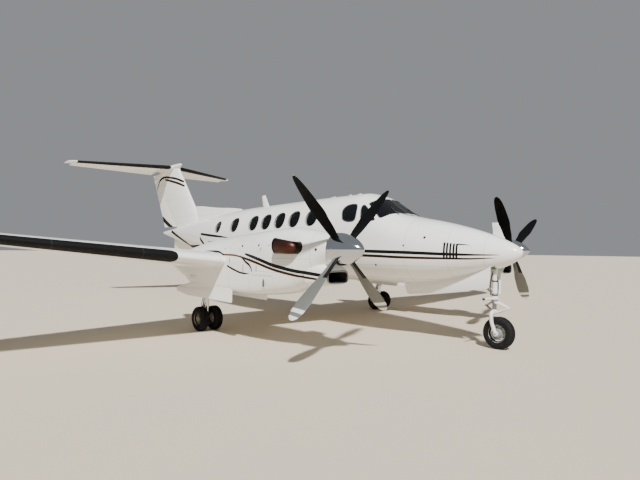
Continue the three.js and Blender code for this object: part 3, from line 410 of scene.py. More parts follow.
def glossPaint(name, colour=gloss["white"]):
    finish = Finish(name, colour, Coat_Roughness=gloss["coatRoughness"], Specular_IOR_Level=gloss["specular"])
    finish.coat = gloss["coat"]
    finish.stain(1.7, 0.45, 0.8, 0.12, gloss["grime"], (0.5, 1, 1))
    finish.vary(9.0, *gloss["roughness"])
    return finish


def seams(finish, places, coordinate, width=0.003, where=None):
    marks = either(*[line(coordinate, place, width) for place in places])
    if where is not None:
        marks = both(marks, where)
    finish.tint(marks * 0.55, gloss["seam"])
    finish.emboss(-marks)


def rivets(finish, along, pitchAlong, across, pitchAcross, radius=0.0022):
    a = along % pitchAlong - pitchAlong / 2
    b = across % pitchAcross - pitchAcross / 2
    dots = 1 - (a * a + b * b).step(radius * radius * 0.4, radius * radius)
    finish.emboss(dots * 0.25)
    finish.tint(dots * 0.12, "8d8d8a")


# Each stripe: its colour, the width of the gold line round it, and x, z and half width along it
black, oxblood, gold = "070708", "1c0c0c", "a8875c"
fuselageStripes = {
    "upper": (black, 0, [
        (-0.06, 1.66, 0), (1.6, 1.65, 0.026), (3.0, 1.632, 0.031), (4.165, 1.616, 0.031),
        (4.964, 1.605, 0.03), (5.529, 1.591, 0.028), (6.04, 1.581, 0.022), (6.281, 1.58, 0.015),
        (6.506, 1.582, 0.01), (6.652, 1.584, 0.003),
    ]),
    "lower": (oxblood, 0.004, [
        (0.5, 1.58, 0), (1.8, 1.572, 0.018), (3.0, 1.552, 0.023), (4.057, 1.535, 0.024),
        (4.534, 1.526, 0.023), (4.958, 1.515, 0.021), (5.526, 1.511, 0.018), (6.037, 1.511, 0.014),
        (6.354, 1.521, 0.009), (6.633, 1.535, 0),
    ]),
    "barTail": (black, 0, [(5.978, 1.754, 0.012), (6.108, 1.748, 0.008), (6.22, 1.737, 0)]),
    "aft": (black, 0, [
        (-2.3, 2.023, 0), (-2.27, 2.021, 0.032), (-1.636, 1.974, 0.034), (-1.032, 1.935, 0.026),
        (-0.461, 1.893, 0),
    ]),
    "aftStroke": (black, 0, [
        (-2.35, 1.92, 0), (-2.33, 1.9, 0.05), (-2.053, 1.739, 0.045), (-2.02, 1.72, 0),
    ]),
    "aftGrey": ("8f8d8a", 0, [(-1.786, 1.808, 0.013), (-1.261, 1.806, 0.013)]),
    "cone": (black, 0, [
        (-5.12, 2.17, 0), (-5.066, 2.157, 0.04), (-4.21, 1.928, 0.052), (-3.7, 1.776, 0.052),
        (-3.267, 1.668, 0.046), (-3.0, 1.674, 0.034), (-2.413, 1.708, 0.018),
    ]),
}
nacelleStripes = {
    "upper": (black, 0, [
        (3.49, 1.558, 0), (3.53, 1.55, 0.018), (3.711, 1.514, 0.026), (3.985, 1.452, 0.029),
        (4.285, 1.383, 0.03), (4.475, 1.354, 0.03), (4.643, 1.329, 0.029), (4.83, 1.306, 0.028),
        (5.023, 1.289, 0.027), (5.36, 1.262, 0.023),
    ]),
    "fork": ("5a3d27", 0, [(2.84, 1.532, 0.016), (3.113, 1.53, 0.017), (3.36, 1.509, 0.015)]),
    "lower": (oxblood, 0.006, [
        (3.346, 1.51, 0.01), (3.394, 1.501, 0.013), (3.716, 1.442, 0.019), (4.261, 1.323, 0.019),
        (4.636, 1.263, 0.018), (4.81, 1.237, 0.016), (5.025, 1.221, 0.014), (5.165, 1.211, 0.011),
        (5.25, 1.206, 0),
    ]),
    "curl": ("171011", 0, [
        (3.4, 1.505, 0), (3.425, 1.492, 0.02), (3.523, 1.429, 0.022), (3.645, 1.368, 0.026),
        (3.7, 1.301, 0.03), (3.72, 1.27, 0),
    ]),
    "thin": (black, 0, [
        (2.96, 1.344, 0), (2.988, 1.336, 0.018), (3.229, 1.27, 0.018), (3.422, 1.233, 0.016),
        (3.56, 1.228, 0.011), (3.652, 1.229, 0),
    ]),
    "rear": (black, 0, [
        (1.94, 1.566, 0), (2.217, 1.581, 0.016), (2.503, 1.586, 0.018), (2.852, 1.529, 0.016),
    ]),
}
finStripes = {
    "rudderBand": (black, 0, [
        (-6.05, 2.613, 0.095), (-5.949, 2.569, 0.092), (-5.557, 2.398, 0.08), (-5.04, 2.225, 0.052),
    ]),
    "arc": (black, 0, [
        (-6.47, 3.6, 0), (-6.44, 3.64, 0.04), (-6.289, 3.816, 0.048), (-6.078, 3.946, 0.042),
        (-5.705, 3.987, 0.036), (-5.264, 3.936, 0.036), (-4.88, 3.869, 0.037), (-4.509, 3.755, 0.034),
        (-4.47, 3.742, 0),
    ]),
    "arcInner": (black, 0.008, [
        (-5.73, 3.907, 0), (-5.69, 3.904, 0.02), (-5.07, 3.787, 0.034), (-4.727, 3.703, 0.034),
        (-4.394, 3.599, 0.026),
    ]),
}
noseBars = {"xs": [5.77, 5.82, 5.875, 5.93, 5.98], "low": 1.5, "top": 1.785, "fall": 0.11, "half": 0.017}
# Small ports: x, z and radius
fuselagePorts = [
    (5.4, 1.87, 0.022), (5.027, 1.727, 0.016), (3.092, 1.94, 0.016), (4.4, 1.36, 0.02), (2.3, 1.3, 0.02),
]
nacellePorts = [
    (3.38, 1.687, 0.022), (3.85, 1.701, 0.02), (4.121, 1.699, 0.012), (5.149, 1.644, 0.022),
    (2.849, 1.64, 0.012),
]


def layStripes(finish, stripes):
    for colour, edge, points in stripes.values():
        if edge:
            finish.tint(stripe(finish, [(x, z, half + min(edge, half)) for x, z, half in points]), gold)
        finish.decal(stripe(finish, points), colour)


def layPorts(finish, ports):
    for x, z, radius in ports:
        across, up = finish.x - x, finish.z - z
        spot = 1 - (across * across + up * up).step(radius * radius * 0.8, radius * radius * 1.4)
        finish.tint(spot, "2a2b2e")
        finish.emboss(-spot)


# Panel lines by station, or by height in metres; the post stands between the windshields
fuselageMarks = {
    "hoops": (530, 1130, 1900, 3560, 4650, 6800, 8650, 9700, 10900), "lengthwise": (1.36, 1.12),
    "lengthwiseEnds": (9000, 700), "belly": range(2200, 8600, 800), "bellyTop": 1.36, "bellyWidth": 0.0025,
    "post": (2820, 2350), "postHalf": 0.019, "postFoot": 2.3, "rivets": (0.42, 0.03),
}


def fuselagePaint():
    marks = fuselageMarks
    finish = glossPaint("fuselage_paint")
    layStripes(finish, fuselageStripes)
    level = noseBars["top"] - (finish.x - noseBars["xs"][0]) * noseBars["fall"]
    upright = either(*[(noseBars["half"] - abs(finish.x - x)).positive(0.0015) for x in noseBars["xs"]])
    bars = both(upright, finish.z < level, finish.z > noseBars["low"])
    postEnds = within(finish.x, *(stationX(station) for station in marks["post"]))
    post = both(abs(finish.y) < marks["postHalf"], postEnds, finish.z > marks["postFoot"])
    finish.decal(either(bars, post), black)
    layPorts(finish, fuselagePorts)
    seams(finish, [stationX(station) for station in marks["hoops"]], finish.x)
    ends = within(finish.x, *(stationX(station) for station in marks["lengthwiseEnds"]))
    seams(finish, marks["lengthwise"], finish.z, where=ends)
    ribs = [stationX(station) for station in marks["belly"]]
    seams(finish, ribs, finish.x, marks["bellyWidth"], finish.z < marks["bellyTop"])
    rivets(finish, finish.x, marks["rivets"][0], finish.z, marks["rivets"][1])
    return finish.done(gloss["bump"])


# The wing's black boots and its panel lines, in metres out or aft of the leading edge
wingMarks = {
    "colour": "eeede9", "joint": 3.1, "lead": 4030, "sweep": 295 / 5200, "sparSweep": 0.056,
    "middle": (0.0992, 1.1264), "boot": (3.85, 8.28), "depth": 0.15, "underDepth": 0.07, "taper": 0.009,
    "cornerOut": 3.95, "corner": 0.1, "ribs": (3.1, 4.4, 5.65, 6.9, 8.3), "spars": (0.42, 1.02),
    "rivets": (0.3, 0.03),
}


def wingPaint():
    marks = wingMarks
    finish = glossPaint("wing_paint", marks["colour"])
    out = abs(finish.y)
    beyond = out - marks["joint"]
    depth = stationX(marks["lead"]) - beyond * marks["sweep"] - finish.x
    under = finish.z < out * marks["middle"][0] + marks["middle"][1]
    inboard = ((marks["cornerOut"] - out) / marks["corner"]).maths("MAXIMUM", 0)
    rounding = (1 - inboard * inboard).maths("MAXIMUM", 0).maths("SQRT")
    reach = (under * marks["underDepth"] + marks["depth"] - out * marks["taper"]) * rounding
    finish.decal(both((reach - depth).positive(0.002), within(out, *marks["boot"])), black)
    seams(finish, marks["ribs"], out)
    aft = stationX(marks["lead"]) - beyond * marks["sparSweep"] - finish.x
    seams(finish, marks["spars"], aft, where=beyond > 0)
    rivets(finish, out, marks["rivets"][0], finish.x, marks["rivets"][1])
    return finish.done(gloss["bump"])


tailplaneMarks = {
    "lead": 11950, "sweep": 1270 / 2700, "boot": (0.16, 2.62), "depth": 0.15, "ribs": (0.7, 1.4, 2.1, 2.62),
}


def tailplanePaint():
    marks = tailplaneMarks
    finish = glossPaint("tailplane_paint")
    out = abs(finish.y)
    depth = stationX(marks["lead"]) - out * marks["sweep"] - finish.x
    finish.decal(both((marks["depth"] - depth).positive(0.002), within(out, *marks["boot"])), black)
    seams(finish, marks["ribs"], out)
    return finish.done(gloss["bump"])


# Latches are rows of x, lower end and upper end; soot fades in over short spans of x and z
nacelleMarks = {
    "hoops": (1905, 2250, 2700, 3300, 3900, 5850), "cowlSeams": (1.5, 1.28), "cowl": (3300, 1905),
    "latches": ((3.829, 1.271, 1.364), (3.457, 1.244, 1.373), (3.045, 1.39, 1.477), (3.921, 1.61, 1.665)),
    "latchWidth": 0.018, "fittings": "5c5d60", "slots": (3.7, 4.22), "slotPitch": (0.033, 0.016),
    "slotZ": 1.214, "slotHalf": 0.016, "slotWidth": 0.012, "rivets": (0.2, 0.028),
}
soot = {
    "colour": "9c8f80", "amount": 0.35, "low": 1.45, "top": 1.95, "fade": 0.2, "ahead": 4.5, "aheadFade": 0.5,
    "behind": 2.2, "behindFade": 1.5,
}


def nacellePaint():
    marks = nacelleMarks
    finish = glossPaint("nacelle_paint")
    layStripes(finish, nacelleStripes)
    patches = finish.noise(3.0, 5.0, (0.3, 1, 1)).step(0.35, 0.8)
    above = (finish.z - soot["low"]).step(0, soot["fade"])
    beneath = (soot["top"] - finish.z).step(0, soot["fade"])
    ahead = (soot["ahead"] - finish.x).step(0, soot["aheadFade"])
    behind = (finish.x - soot["behind"]).step(0, soot["behindFade"])
    finish.tint(both(patches, above, beneath, ahead, behind) * soot["amount"], soot["colour"])
    layPorts(finish, nacellePorts)
    for x, low, high in marks["latches"]:
        latch = both(line(finish.x, x, marks["latchWidth"]), within(finish.z, low, high))
        finish.tint(latch * 0.7, marks["fittings"])
    pitch, middle = marks["slotPitch"]
    slots = line(finish.x % pitch, middle, marks["slotWidth"])
    row = both(abs(finish.z - marks["slotZ"]) < marks["slotHalf"], within(finish.x, *marks["slots"]))
    finish.tint(both(slots, row) * 0.45, marks["fittings"])
    seams(finish, [stationX(station) for station in marks["hoops"]], finish.x)
    ends = within(finish.x, *(stationX(station) for station in marks["cowl"]))
    seams(finish, marks["cowlSeams"], finish.z, where=ends)
    rivets(finish, finish.x, marks["rivets"][0], finish.z, marks["rivets"][1])
    return finish.done(gloss["bump"])


def finPaint():
    finish = glossPaint("fin_paint")
    layStripes(finish, finStripes)
    seams(finish, [2.62, 3.2, 3.75], finish.z)
    return finish.done(gloss["bump"])


def metalFinish(name, colour, roughness):
    finish = Finish(name, colour, metallic=1.0)
    finish.tint(finish.noise(60.0, 6.0, (1, 1, 0.15)).step(0.3, 0.8) * 0.18, "3a3a3a")
    finish.vary(24.0, roughness - 0.08, roughness + 0.08)
    finish.emboss(finish.noise(180.0) * 0.3)
    return finish.done(0.0003)


def spinnerMetal():
    finish = Finish("spinner_polish", "c9cdd2", metallic=1.0)
    finish.vary(30.0, 0.05, 0.11)
    finish.tint(finish.noise(5.0, 4.0).step(0.4, 0.8) * 0.15, "8a8f94")
    seams(finish, [5.335, 5.29], finish.x)
    return finish.done(0.0004)


# The blades' grey faces: a dark root, a thin pale band and a pale tip, by radius
bladeMarks = {
    "aheadOf": 5.483, "root": 0.58, "band": (1.15, 1.215), "tip": 1.275, "dark": "101011", "pale": "e8e7e2",
}


def bladeFinish(name, colour, roughness, metallic, specular, patches):
    finish = Finish(name, colour, metallic=metallic, Specular_IOR_Level=specular)
    finish.stain(8.0, 0.4, 0.75, 0.15, patches)
    finish.vary(20.0, roughness, roughness + 0.2)
    return finish


def greyBladeFinish():
    finish = bladeFinish("blade_grey", "72746f", 0.4, 0.3, 0.35, "5a5b5a")
    across, up = abs(finish.y) - nacelleY / 1000, finish.z - thrustZ
    radius = (across * across + up * up).maths("SQRT")
    finish.tint(both(finish.x > bladeMarks["aheadOf"], radius < bladeMarks["root"]), bladeMarks["dark"])
    finish.tint(either(within(radius, *bladeMarks["band"]), radius > bladeMarks["tip"]), bladeMarks["pale"])
    return finish


# Burnt steel, darker on top, near the cowl and toward the mouth
def stackFinish():
    finish = Finish("exhaust_steel", "4a2a20", metallic=0.75)
    finish.tint(finish.noise(7.0, 4.0, (0.3, 1, 1)).step(0.4, 0.7) * 0.35, "2a1611")
    finish.tint((finish.z - 1.74).step(0, 0.04) * 0.8, "1a0f0c")
    finish.tint((0.40 - abs(abs(finish.y) - nacelleY / 1000)).positive(0.004) * 0.85, "171110")
    finish.tint((stationX(2468) - finish.x).step(0, 0.02) * 0.8, "120d0b")
    finish.vary(20.0, 0.28, 0.48)
    return finish.done()


def rubberFinish():
    finish = Finish("tyre_rubber", "101011", Specular_IOR_Level=0.25)
    finish.stain(30.0, 0.4, 0.75, 0.4, "2a2826")
    finish.vary(40.0, 0.7, 0.9)
    finish.emboss(finish.noise(200.0) * 0.5)
    return finish.done(0.0005)


def glassFinish(name, colour, alpha):
    finish = Finish(name, colour, Alpha=alpha, IOR=1.5, Specular_IOR_Level=0.3)
    finish.sheen = finish.noise(4.0) * 0.05 + 0.02
    finish.tint(finish.noise(2.0).step(0.4, 0.8) * 0.1, "1c2126")
    return finish.done()


def trimFinish(name, colour, roughness):
    finish = Finish(name, colour)
    finish.stain(40.0, 0.4, 0.8, 0.25, "77736c")
    finish.vary(40.0, roughness - 0.1, roughness + 0.1)
    finish.emboss(finish.noise(160.0) * 0.3)
    return finish.done(0.0003)


noseWheel = {"station": 390, "z": 0.272, "greyEdge": (0.1118, 0.1225)}


# Its rim: a white flange round a grey centre
def noseRimFinish():
    finish = Finish("nose_rim", "e6e6e3", 0.4, 0.2)
    across, up = finish.x - stationX(noseWheel["station"]), finish.z - noseWheel["z"]
    inner, outer = (edge * edge for edge in noseWheel["greyEdge"])
    finish.tint((1 - (across * across + up * up).step(inner, outer)) * 0.8, "6f7072")
    finish.stain(40.0, 0.4, 0.8, 0.25, "77736c")
    return finish.done()


def clothFinish(name, colour, pitch, roughness):
    finish = Finish(name, colour, roughness, Sheen_Weight=0.25)
    wave = both(abs(finish.y % pitch - pitch / 2), abs(finish.z % pitch - pitch / 2)) / (pitch * pitch / 4)
    finish.stain(12.0, 0.4, 0.8, 0.3, "2d2620")
    finish.emboss(wave + finish.noise(80.0, 4.0))
    return finish.done(0.0006)


finishes = {
    "fuselage": fuselagePaint(),
    "white": glossPaint("plain_white_paint").done(),
    "wing": wingPaint(),
    "tailplane": tailplanePaint(),
    "nacelle": nacellePaint(),
    "fin": finPaint(),
    "spinner": spinnerMetal(),
    "bladeDark": bladeFinish("blade_black", "070708", 0.6, 0.0, 0.08, "111111").done(),
    "bladeMetal": greyBladeFinish().done(),
    "stack": stackFinish(),
    "tyre": rubberFinish(),
    "glass": glassFinish("cabin_glass", "0c1013", 0.3),
    # Inner panes: a dark tint, made near black and nearly opaque as painted shade for the cabin behind them
    "innerTintAndShade": glassFinish("inner_glass_and_shade", "040507", 0.92),
    "cockpitGlass": glassFinish("cockpit_glass", "0a0d11", 0.84),
    "darkSeal": trimFinish("dark_seal", "2b2c2e", 0.6),
    "chrome": metalFinish("oleo_chrome", "d6d8da", 0.12),
    "steel": metalFinish("gear_steel", "9b9d9e", 0.35),
    "rim": metalFinish("wheel_rim", "b3aa98", 0.4),
    "noseRim": noseRimFinish(),
    "windowSeal": trimFinish("window_seal", "6b6d70", 0.5),
    "engine": metalFinish("engine_case", "7a7a78", 0.45),
    "gearPaint": glossPaint("gear_white", "e4e4e0").done(),
    "hose": trimFinish("black_hose", "1b1b1c", 0.5),
    "carpet": clothFinish("cabin_carpet", "6e6255", 0.008, 0.9),
    "leather": clothFinish("seat_leather", "a08d76", 0.05, 0.45),
    "pilotLeather": clothFinish("pilot_leather", "4a4038", 0.05, 0.5),
    "lining": trimFinish("cabin_lining", "cfc7b8", 0.7),
    "panel": trimFinish("panel_black", "1c1d20", 0.55),
    "screen": glassFinish("panel_screen", "0a1520", 1.0),
}
print("finishes made")

# Fuselage: station, half width, top, bottom, widest height, squareness above and below
fuselageTable = SmoothTable([
    [0, 2, 1628, 1624, 1626, 2, 2],
    [8, 36, 1664, 1588, 1626, 2, 2],
    [60, 92, 1712, 1519, 1622, 2, 2],
    [220, 184, 1800, 1420, 1612, 2, 2],
    [630, 350, 1952, 1280, 1600, 2.1, 2.1],
    [1000, 462, 2057, 1187, 1605, 2.2, 2.2],
    [1500, 596, 2172, 1090, 1640, 2.2, 2.3],
    [2010, 704, 2266, 1030, 1690, 2.3, 2.4],
    [2330, 750, 2340, 1008, 1715, 2.7, 2.45],
    [2560, 771, 2486, 1001, 1740, 2.65, 2.5],
    [2800, 791, 2648, 998, 1768, 2.45, 2.5],
    [3030, 804, 2744, 996, 1785, 2.3, 2.5],
    [3290, 812, 2800, 996, 1795, 2.25, 2.5],
    [3800, 818, 2794, 996, 1800, 2.3, 2.5],
    [6980, 818, 2708, 998, 1800, 2.3, 2.5],
    [7700, 792, 2680, 1010, 1815, 2.25, 2.4],
    [8650, 712, 2612, 1140, 1860, 2.2, 2.3],
    [9600, 580, 2530, 1352, 1935, 2.1, 2.2],
    [10700, 396, 2404, 1612, 2030, 2, 2],
    [11700, 220, 2290, 1846, 2085, 2, 2],
    [12250, 128, 2226, 1962, 2104, 2, 2],
    [12850, 40, 2160, 2082, 2122, 2, 2],
], math.sqrt)
# Stations of each hollow part, the thickness of its wall, and the seam between two parts
shell = {
    "radome": (0, 530), "nose": (530, 1900), "cockpit": (1900, 3560), "cabin": (3560, 8650),
    "tail": (8650, 12850), "pitch": 60, "wall": 70, "tailWall": 45, "seam": 1.2,
}


def ovalPoint(i, count, upper, lower):  # on a circle of radius 1, squared off
    c, s = math.cos(math.tau * i / count), math.sin(math.tau * i / count)
    power = 2 / (upper if s >= 0 else lower)
    return math.copysign(abs(c) ** power, c), math.copysign(abs(s) ** power, s)


def ovalRing(table, station, y=0, inset=0, count=96):
    half, top, bottom, mid, upper, lower = table.at(station)
    ring = []
    for i in range(count):
        across, rise = ovalPoint(i, count, upper, lower)
        reach = (top - mid if rise >= 0 else mid - bottom) - inset
        ring.append(pointAt(station, y + (half - inset) * across, mid + reach * rise))
    return ring


def ovalBody(name, table, stations, y=0, inset=0, pitch=60, count=96):
    first, last = (math.sqrt(station) for station in stations)
    steps = max(4, round((stations[1] - stations[0]) / pitch))
    return skin(name, [ovalRing(table, q * q, y, inset, count) for q in spread(first, last, steps)])


def skinOut(station, height, inset=0):  # how far out the fuselage side is
    half, top, bottom, mid, upper, lower = fuselageTable.at(station)
    square, reach = (upper, top - mid) if height >= mid else (lower, mid - bottom)
    share = min(1, abs(height - mid) / (reach - inset))
    return (half - inset) * (1 - share ** square) ** (1 / square)


def skinTop(station, out, inset=0):
    half, top, bottom, mid, upper, lower = fuselageTable.at(station)
    share = min(1, abs(out) / (half - inset))
    return mid + (top - mid - inset) * (1 - share ** upper) ** (1 / upper)


def onSide(side):
    return lambda station, height, inset: pointAt(station, side * skinOut(station, height, inset), height)


def onTop(side):
    return lambda station, out, inset: pointAt(station, side * out, skinTop(station, out, inset))


def ovalOutline(station, height, halfWidth, halfHeight, grow=0, square=2.25, count=48):
    points = []
    for i in range(count):
        across, rise = ovalPoint(i, count, square, square)
        points.append((station + (halfWidth + grow) * across, height + (halfHeight + grow) * rise))
    return points


def roundedOutline(corners, radius, steps=6, grow=0):
    centre = Vector((sum(c[0] for c in corners), sum(c[1] for c in corners))) / len(corners)
    points = []
    for i, corner in enumerate(corners):
        here = Vector(corner)
        before, after = Vector(corners[i - 1]) - here, Vector(corners[(i + 1) % len(corners)]) - here
        start = here + before.normalized() * min(radius, before.length * 0.45)
        end = here + after.normalized() * min(radius, after.length * 0.45)
        for t in spread(0, 1, steps):
            point = start * (1 - t) ** 2 + here * 2 * t * (1 - t) + end * t * t
            away = point - centre
            points.append(tuple(centre + away * (1 + grow / away.length)))
    return points


# A pane or plate that follows the skin, between two depths under it
def patch(name, outline, onSkin, outer, inner):
    a = sum(point[0] for point in outline) / len(outline)
    b = sum(point[1] for point in outline) / len(outline)
    shares = [0, 0.3, 0.6, 0.85, 0.97, 1]
    levels = [(share, outer) for share in shares] + [(share, inner) for share in reversed(shares)]
    rings = []
    for share, inset in levels:
        rings.append([onSkin(a + (p - a) * share, b + (q - b) * share, inset) for p, q in outline])
    return skin(name, rings)


# Cutters right through one side or the roof
def throughSide(outline, side):
    return skin("cut", [[pointAt(s, side * y, z) for s, z in outline] for y in (200, 1000)])


def throughTop(outline, side):
    return skin("cut", [[pointAt(s, side * y, z) for s, y in outline] for z in (2000, 2900)])


def rim(name, outline, onSkin, radius, inset, flat=1.0):
    return tube(name, [onSkin(a, b, inset) for a, b in outline], radius, 8, True, flat)


# Rows of station, height, half width and half height; on the left the sixth is the door's, the last stands aft
cabinWindows = [
    (4360, 2310, 186, 182), (4940, 2293, 186, 182), (5455, 2278, 186, 182), (5970, 2262, 186, 182),
    (6482, 2247, 186, 182), (7320, 2224, 186, 180), (8185, 2190, 150, 150),
]
windowFit = {"pane": (8, 20), "inner": (38, 44), "innerRoom": 2, "rim": 0.006, "rimFlat": 0.7}
cockpitGlass = {
    "windshield": ([
        [2345, 32], [2385, 330], [2450, 560], [2510, 640], [2900, 520], [2830, 300], [2795, 32],
    ], 40),
    "front": ([
        [2590, 2205], [2700, 2190], [2870, 2200], [2930, 2250], [3000, 2440], [3010, 2505], [2950, 2505],
        [2800, 2400],
    ], 40),
    "rear": ([
        [3060, 2250], [3100, 2190], [3272, 2190], [3400, 2235], [3470, 2400], [3450, 2480], [3370, 2528],
        [3250, 2540], [3145, 2528], [3100, 2440],
    ], 60),
}
cockpitFit = {"pane": (5, 20), "room": 5, "frame": 0.013, "frameFlat": 0.4}
doorway = {
    "stations": (6960, 7640), "heights": (1318, 2630), "depths": (250, 1000), "gap": 9, "corner": 0.012,
}
stairs = {"heights": (1560, 1830, 2010), "depths": (560, 745), "inset": 80, "halfThick": 14}
doorHinge = {"stations": (7080, 7520), "y": 726, "z": 1322, "radius": 0.009, "lug": 20, "knuckle": (20.3, 50)}


def stationBlock(name, stations, ys, zs, edge=0.002):
    low, high = pointAt(max(stations), min(ys), min(zs)), pointAt(min(stations), max(ys), max(zs))
    return block(name, low, high, edge)


def makeFuselage():
    def part(stations, inset=0):
        return ovalBody("part", fuselageTable, stations, 0, inset, shell["pitch"])

    def noseWell():
        return stationBlock("noseWell", (400, 1850), (-170, 170), (900, 1480), 0.001)

    glassCuts = []
    for side in sides.values():
        glassCuts.append(throughTop(roundedOutline(*cockpitGlass["windshield"]), side))
        for pane in ("front", "rear"):
            glassCuts.append(throughSide(roundedOutline(*cockpitGlass[pane]), side))
    recess = stationBlock("recess", (1880, 2230), (-170, 170), (900, 1050), 0.001)
    ovals = [throughSide(ovalOutline(*row), side) for row in cabinWindows for side in sides.values()]
    hole = stationBlock("hole", doorway["stations"], doorway["depths"], doorway["heights"], 0.0)
    for name, node, cuts in (
        ("radome", "radome", [noseWell()]),
        ("nose", "nose_fuselage", [noseWell()]),
        ("cockpit", "cockpit_fuselage", [part((1880, 3580), shell["wall"]), *glassCuts, recess]),
        ("cabin", "cabin_fuselage", [part((3540, 8670), shell["wall"]), *ovals, hole]),
        ("tail", "tail_fuselage", [part((8640, 11700), shell["tailWall"])]),
    ):
        first, last = shell[name]
        piece = carve(part((first + shell["seam"] if first else 0, last)), cuts)
        piece.name = f"{name}_skin"
        slot = "radome" if name == "radome" else "airframe_paint"
        dress(piece, "fuselage", nodes=[node])

    gap = doorway["gap"]
    fore, aft = doorway["stations"]
    low, high = doorway["heights"]
    room = stationBlock("room", (fore + gap, aft - gap), (doorway["depths"][0] + gap, doorway["depths"][1]),
                        (low + gap, high - gap), doorway["corner"])
    leaf = carve(part((6900, 7700)), [part((6880, 7720), shell["wall"])])
    carve(leaf, [room], "INTERSECT")
    carve(leaf, [throughSide(ovalOutline(*cabinWindows[5]), 1)])
    leaf.name = "airstair_skin"
    dress(leaf, "fuselage", "left_airstair_door", ["airstair_door"])


def makeStairs():
    def barrel(name, *stations):
        ends = [pointAt(station, doorHinge["y"], doorHinge["z"]) for station in stations]
        return tube(name, ends, doorHinge["radius"], 16)

    fore, aft = doorway["stations"]
    ends = (fore + stairs["inset"], aft - stairs["inset"])
    half = stairs["halfThick"]
    steps = []
    for height in stairs["heights"]:
        steps.append(stationBlock("step", ends, stairs["depths"], (height - half, height + half), 0.005))
    dress(merged("airstair_steps", steps), "carpet", "left_airstair_door")
    near, far = doorHinge["knuckle"]
    knuckles = []
    for middle in doorHinge["stations"]:
        knuckles.extend(barrel("knuckle", middle + way * near, middle + way * far) for way in (-1, 1))
    dress(merged("airstair_knuckles", knuckles), "steel", "left_airstair_door")
    half = doorHinge["lug"]
    lugs = [barrel("lug", middle - half, middle + half) for middle in doorHinge["stations"]]
    dress(merged("airstair_lugs", lugs), "steel")


# An outer pane, a rim and an inner pane for each window of a group; the inner pane is near black and nearly
# opaque: the glass's own tint, and painted shade for the dim cabin behind it
def makeWindows(names, rows, side, room, body, node):
    onSkin = onSide(side)
    panes, rims, inner = [], [], []
    for row in rows:
        panes.append(patch("pane", ovalOutline(*row, -room), onSkin, *windowFit["pane"]))
        rims.append(rim("rim", ovalOutline(*row, 1), onSkin, windowFit["rim"], 1, windowFit["rimFlat"]))
        outline = ovalOutline(*row, -windowFit["innerRoom"])
        inner.append(patch("inner", outline, onSkin, *windowFit["inner"]))
    dress(merged(names[0], panes), "glass", body, [node])
    dress(merged(names[1], rims), "windowSeal", body)
    dress(merged(names[2], inner), "innerTintAndShade", body)


def makeGlass():
    for name, side in sides.items():
        panes, frames = [], []
        for key, onSkin in (("windshield", onTop(side)), ("front", onSide(side)), ("rear", onSide(side))):
            corners, radius = cockpitGlass[key]
            outline = roundedOutline(corners, radius, grow=-cockpitFit["room"])
            panes.append(patch("pane", outline, onSkin, *cockpitFit["pane"]))
            outline = roundedOutline(corners, radius, grow=2)
            frames.append(rim("frame", outline, onSkin, cockpitFit["frame"], -1, cockpitFit["frameFlat"]))
        glass = merged(f"cockpit_panes_{name}", panes)
        dress(glass, "cockpitGlass", nodes=[f"cockpit_glass_{name}"])
        dress(merged(f"cockpit_frames_{name}", frames), "darkSeal")
        names = (f"cabin_panes_{name}", f"cabin_rims_{name}", f"inner_panes_{name}")
        rows = cabinWindows if side < 0 else cabinWindows[:5]
        makeWindows(names, rows, side, 4, "airframe", f"cabin_windows_{name}")
    for number, name, body, node in (
        (6, "aft_pane", "airframe", "aft_window_left"), (5, "door_pane", "left_airstair_door", "door_window"),
    ):
        names = (name, f"{name}_rim", f"{name}_inner")
        makeWindows(names, [cabinWindows[number]], 1, 1, body, node)


makeFuselage()
makeStairs()
makeGlass()
print("fuselage made")

# Wings: distance out, leading edge station, height, chord, thickness ratio, bank
wingCorners = [
    [0, 3900, 1196, 2320, 0.138, 0],
    [640, 3900, 1196, 2320, 0.138, 0],
    [3100, 4030, 1434, 2100, 0.15, 5.6],
    [8300, 4325, 1950, 900, 0.12, 5.9],
    [8560, 4470, 2042, 700, 0.1, 40],
    [8730, 4760, 2300, 480, 0.09, 68],
    [8814, 5080, 2640, 250, 0.09, 74],
]
wing = {"joint": 3100, "hingeShare": 0.78, "edge": 2.5, "coveGap": 11, "endGap": 14, "points": 26}
# Hinge arms, and the notches they stand in, in metres
arm = {"half": 0.012, "root": 0.031, "notchHalf": 0.0123, "notchAhead": 0.16, "notchBehind": 0.019}


def wingCornerAt(out):
    last = max(1, next(i for i, row in enumerate(wingCorners) if row[0] >= out))
    low, high = wingCorners[last - 1], wingCorners[last]
    share = (out - low[0]) / (high[0] - low[0])
    return [a + share * (b - a) for a, b in zip(low, high)]


wingTable = SmoothTable([wingCornerAt(out) for out in (
    0, 640, 650, 1500, 3090, 3100, 3110, 4500, 6500, 8000, 8200, 8300, 8560, 8730, 8814,
)])


def halfThickness(share, ratio):
    front = 0.2969 * math.sqrt(share) - 0.126 * share - 0.3516 * share ** 2
    return 5 * ratio * (front + 0.2843 * share ** 3 - 0.1015 * share ** 4)


def sectionOutline(chord, ratio):
    count = wing["points"]
    shares = [(1 + math.cos(math.pi * i / count)) / 2 for i in range(count)]
    upper = [(chord * share, max(chord * halfThickness(share, ratio), wing["edge"])) for share in shares]
    return [*upper, (0, 0), *[(aft, -up) for aft, up in reversed(upper)]]


def wingRing(out, side):
    lead, height, chord, ratio, bank = wingTable.at(out)
    tilt = math.radians(bank)
    return [
        pointAt(lead + aft, side * (out - up * math.sin(tilt)), height + up * math.cos(tilt))
        for aft, up in sectionOutline(chord, ratio)
    ]


def hingeFrame(ends, up):
    first, second = (Vector(end["hinge"]) for end in ends)
    axis = (second - first).normalized()
    aft = Vector((-1, 0, 0))
    aft = (aft - axis * aft.dot(axis)).normalized()
    lift = axis.cross(aft).normalized()
    return first, second, axis, aft, lift if lift.dot(up) > 0 else -lift


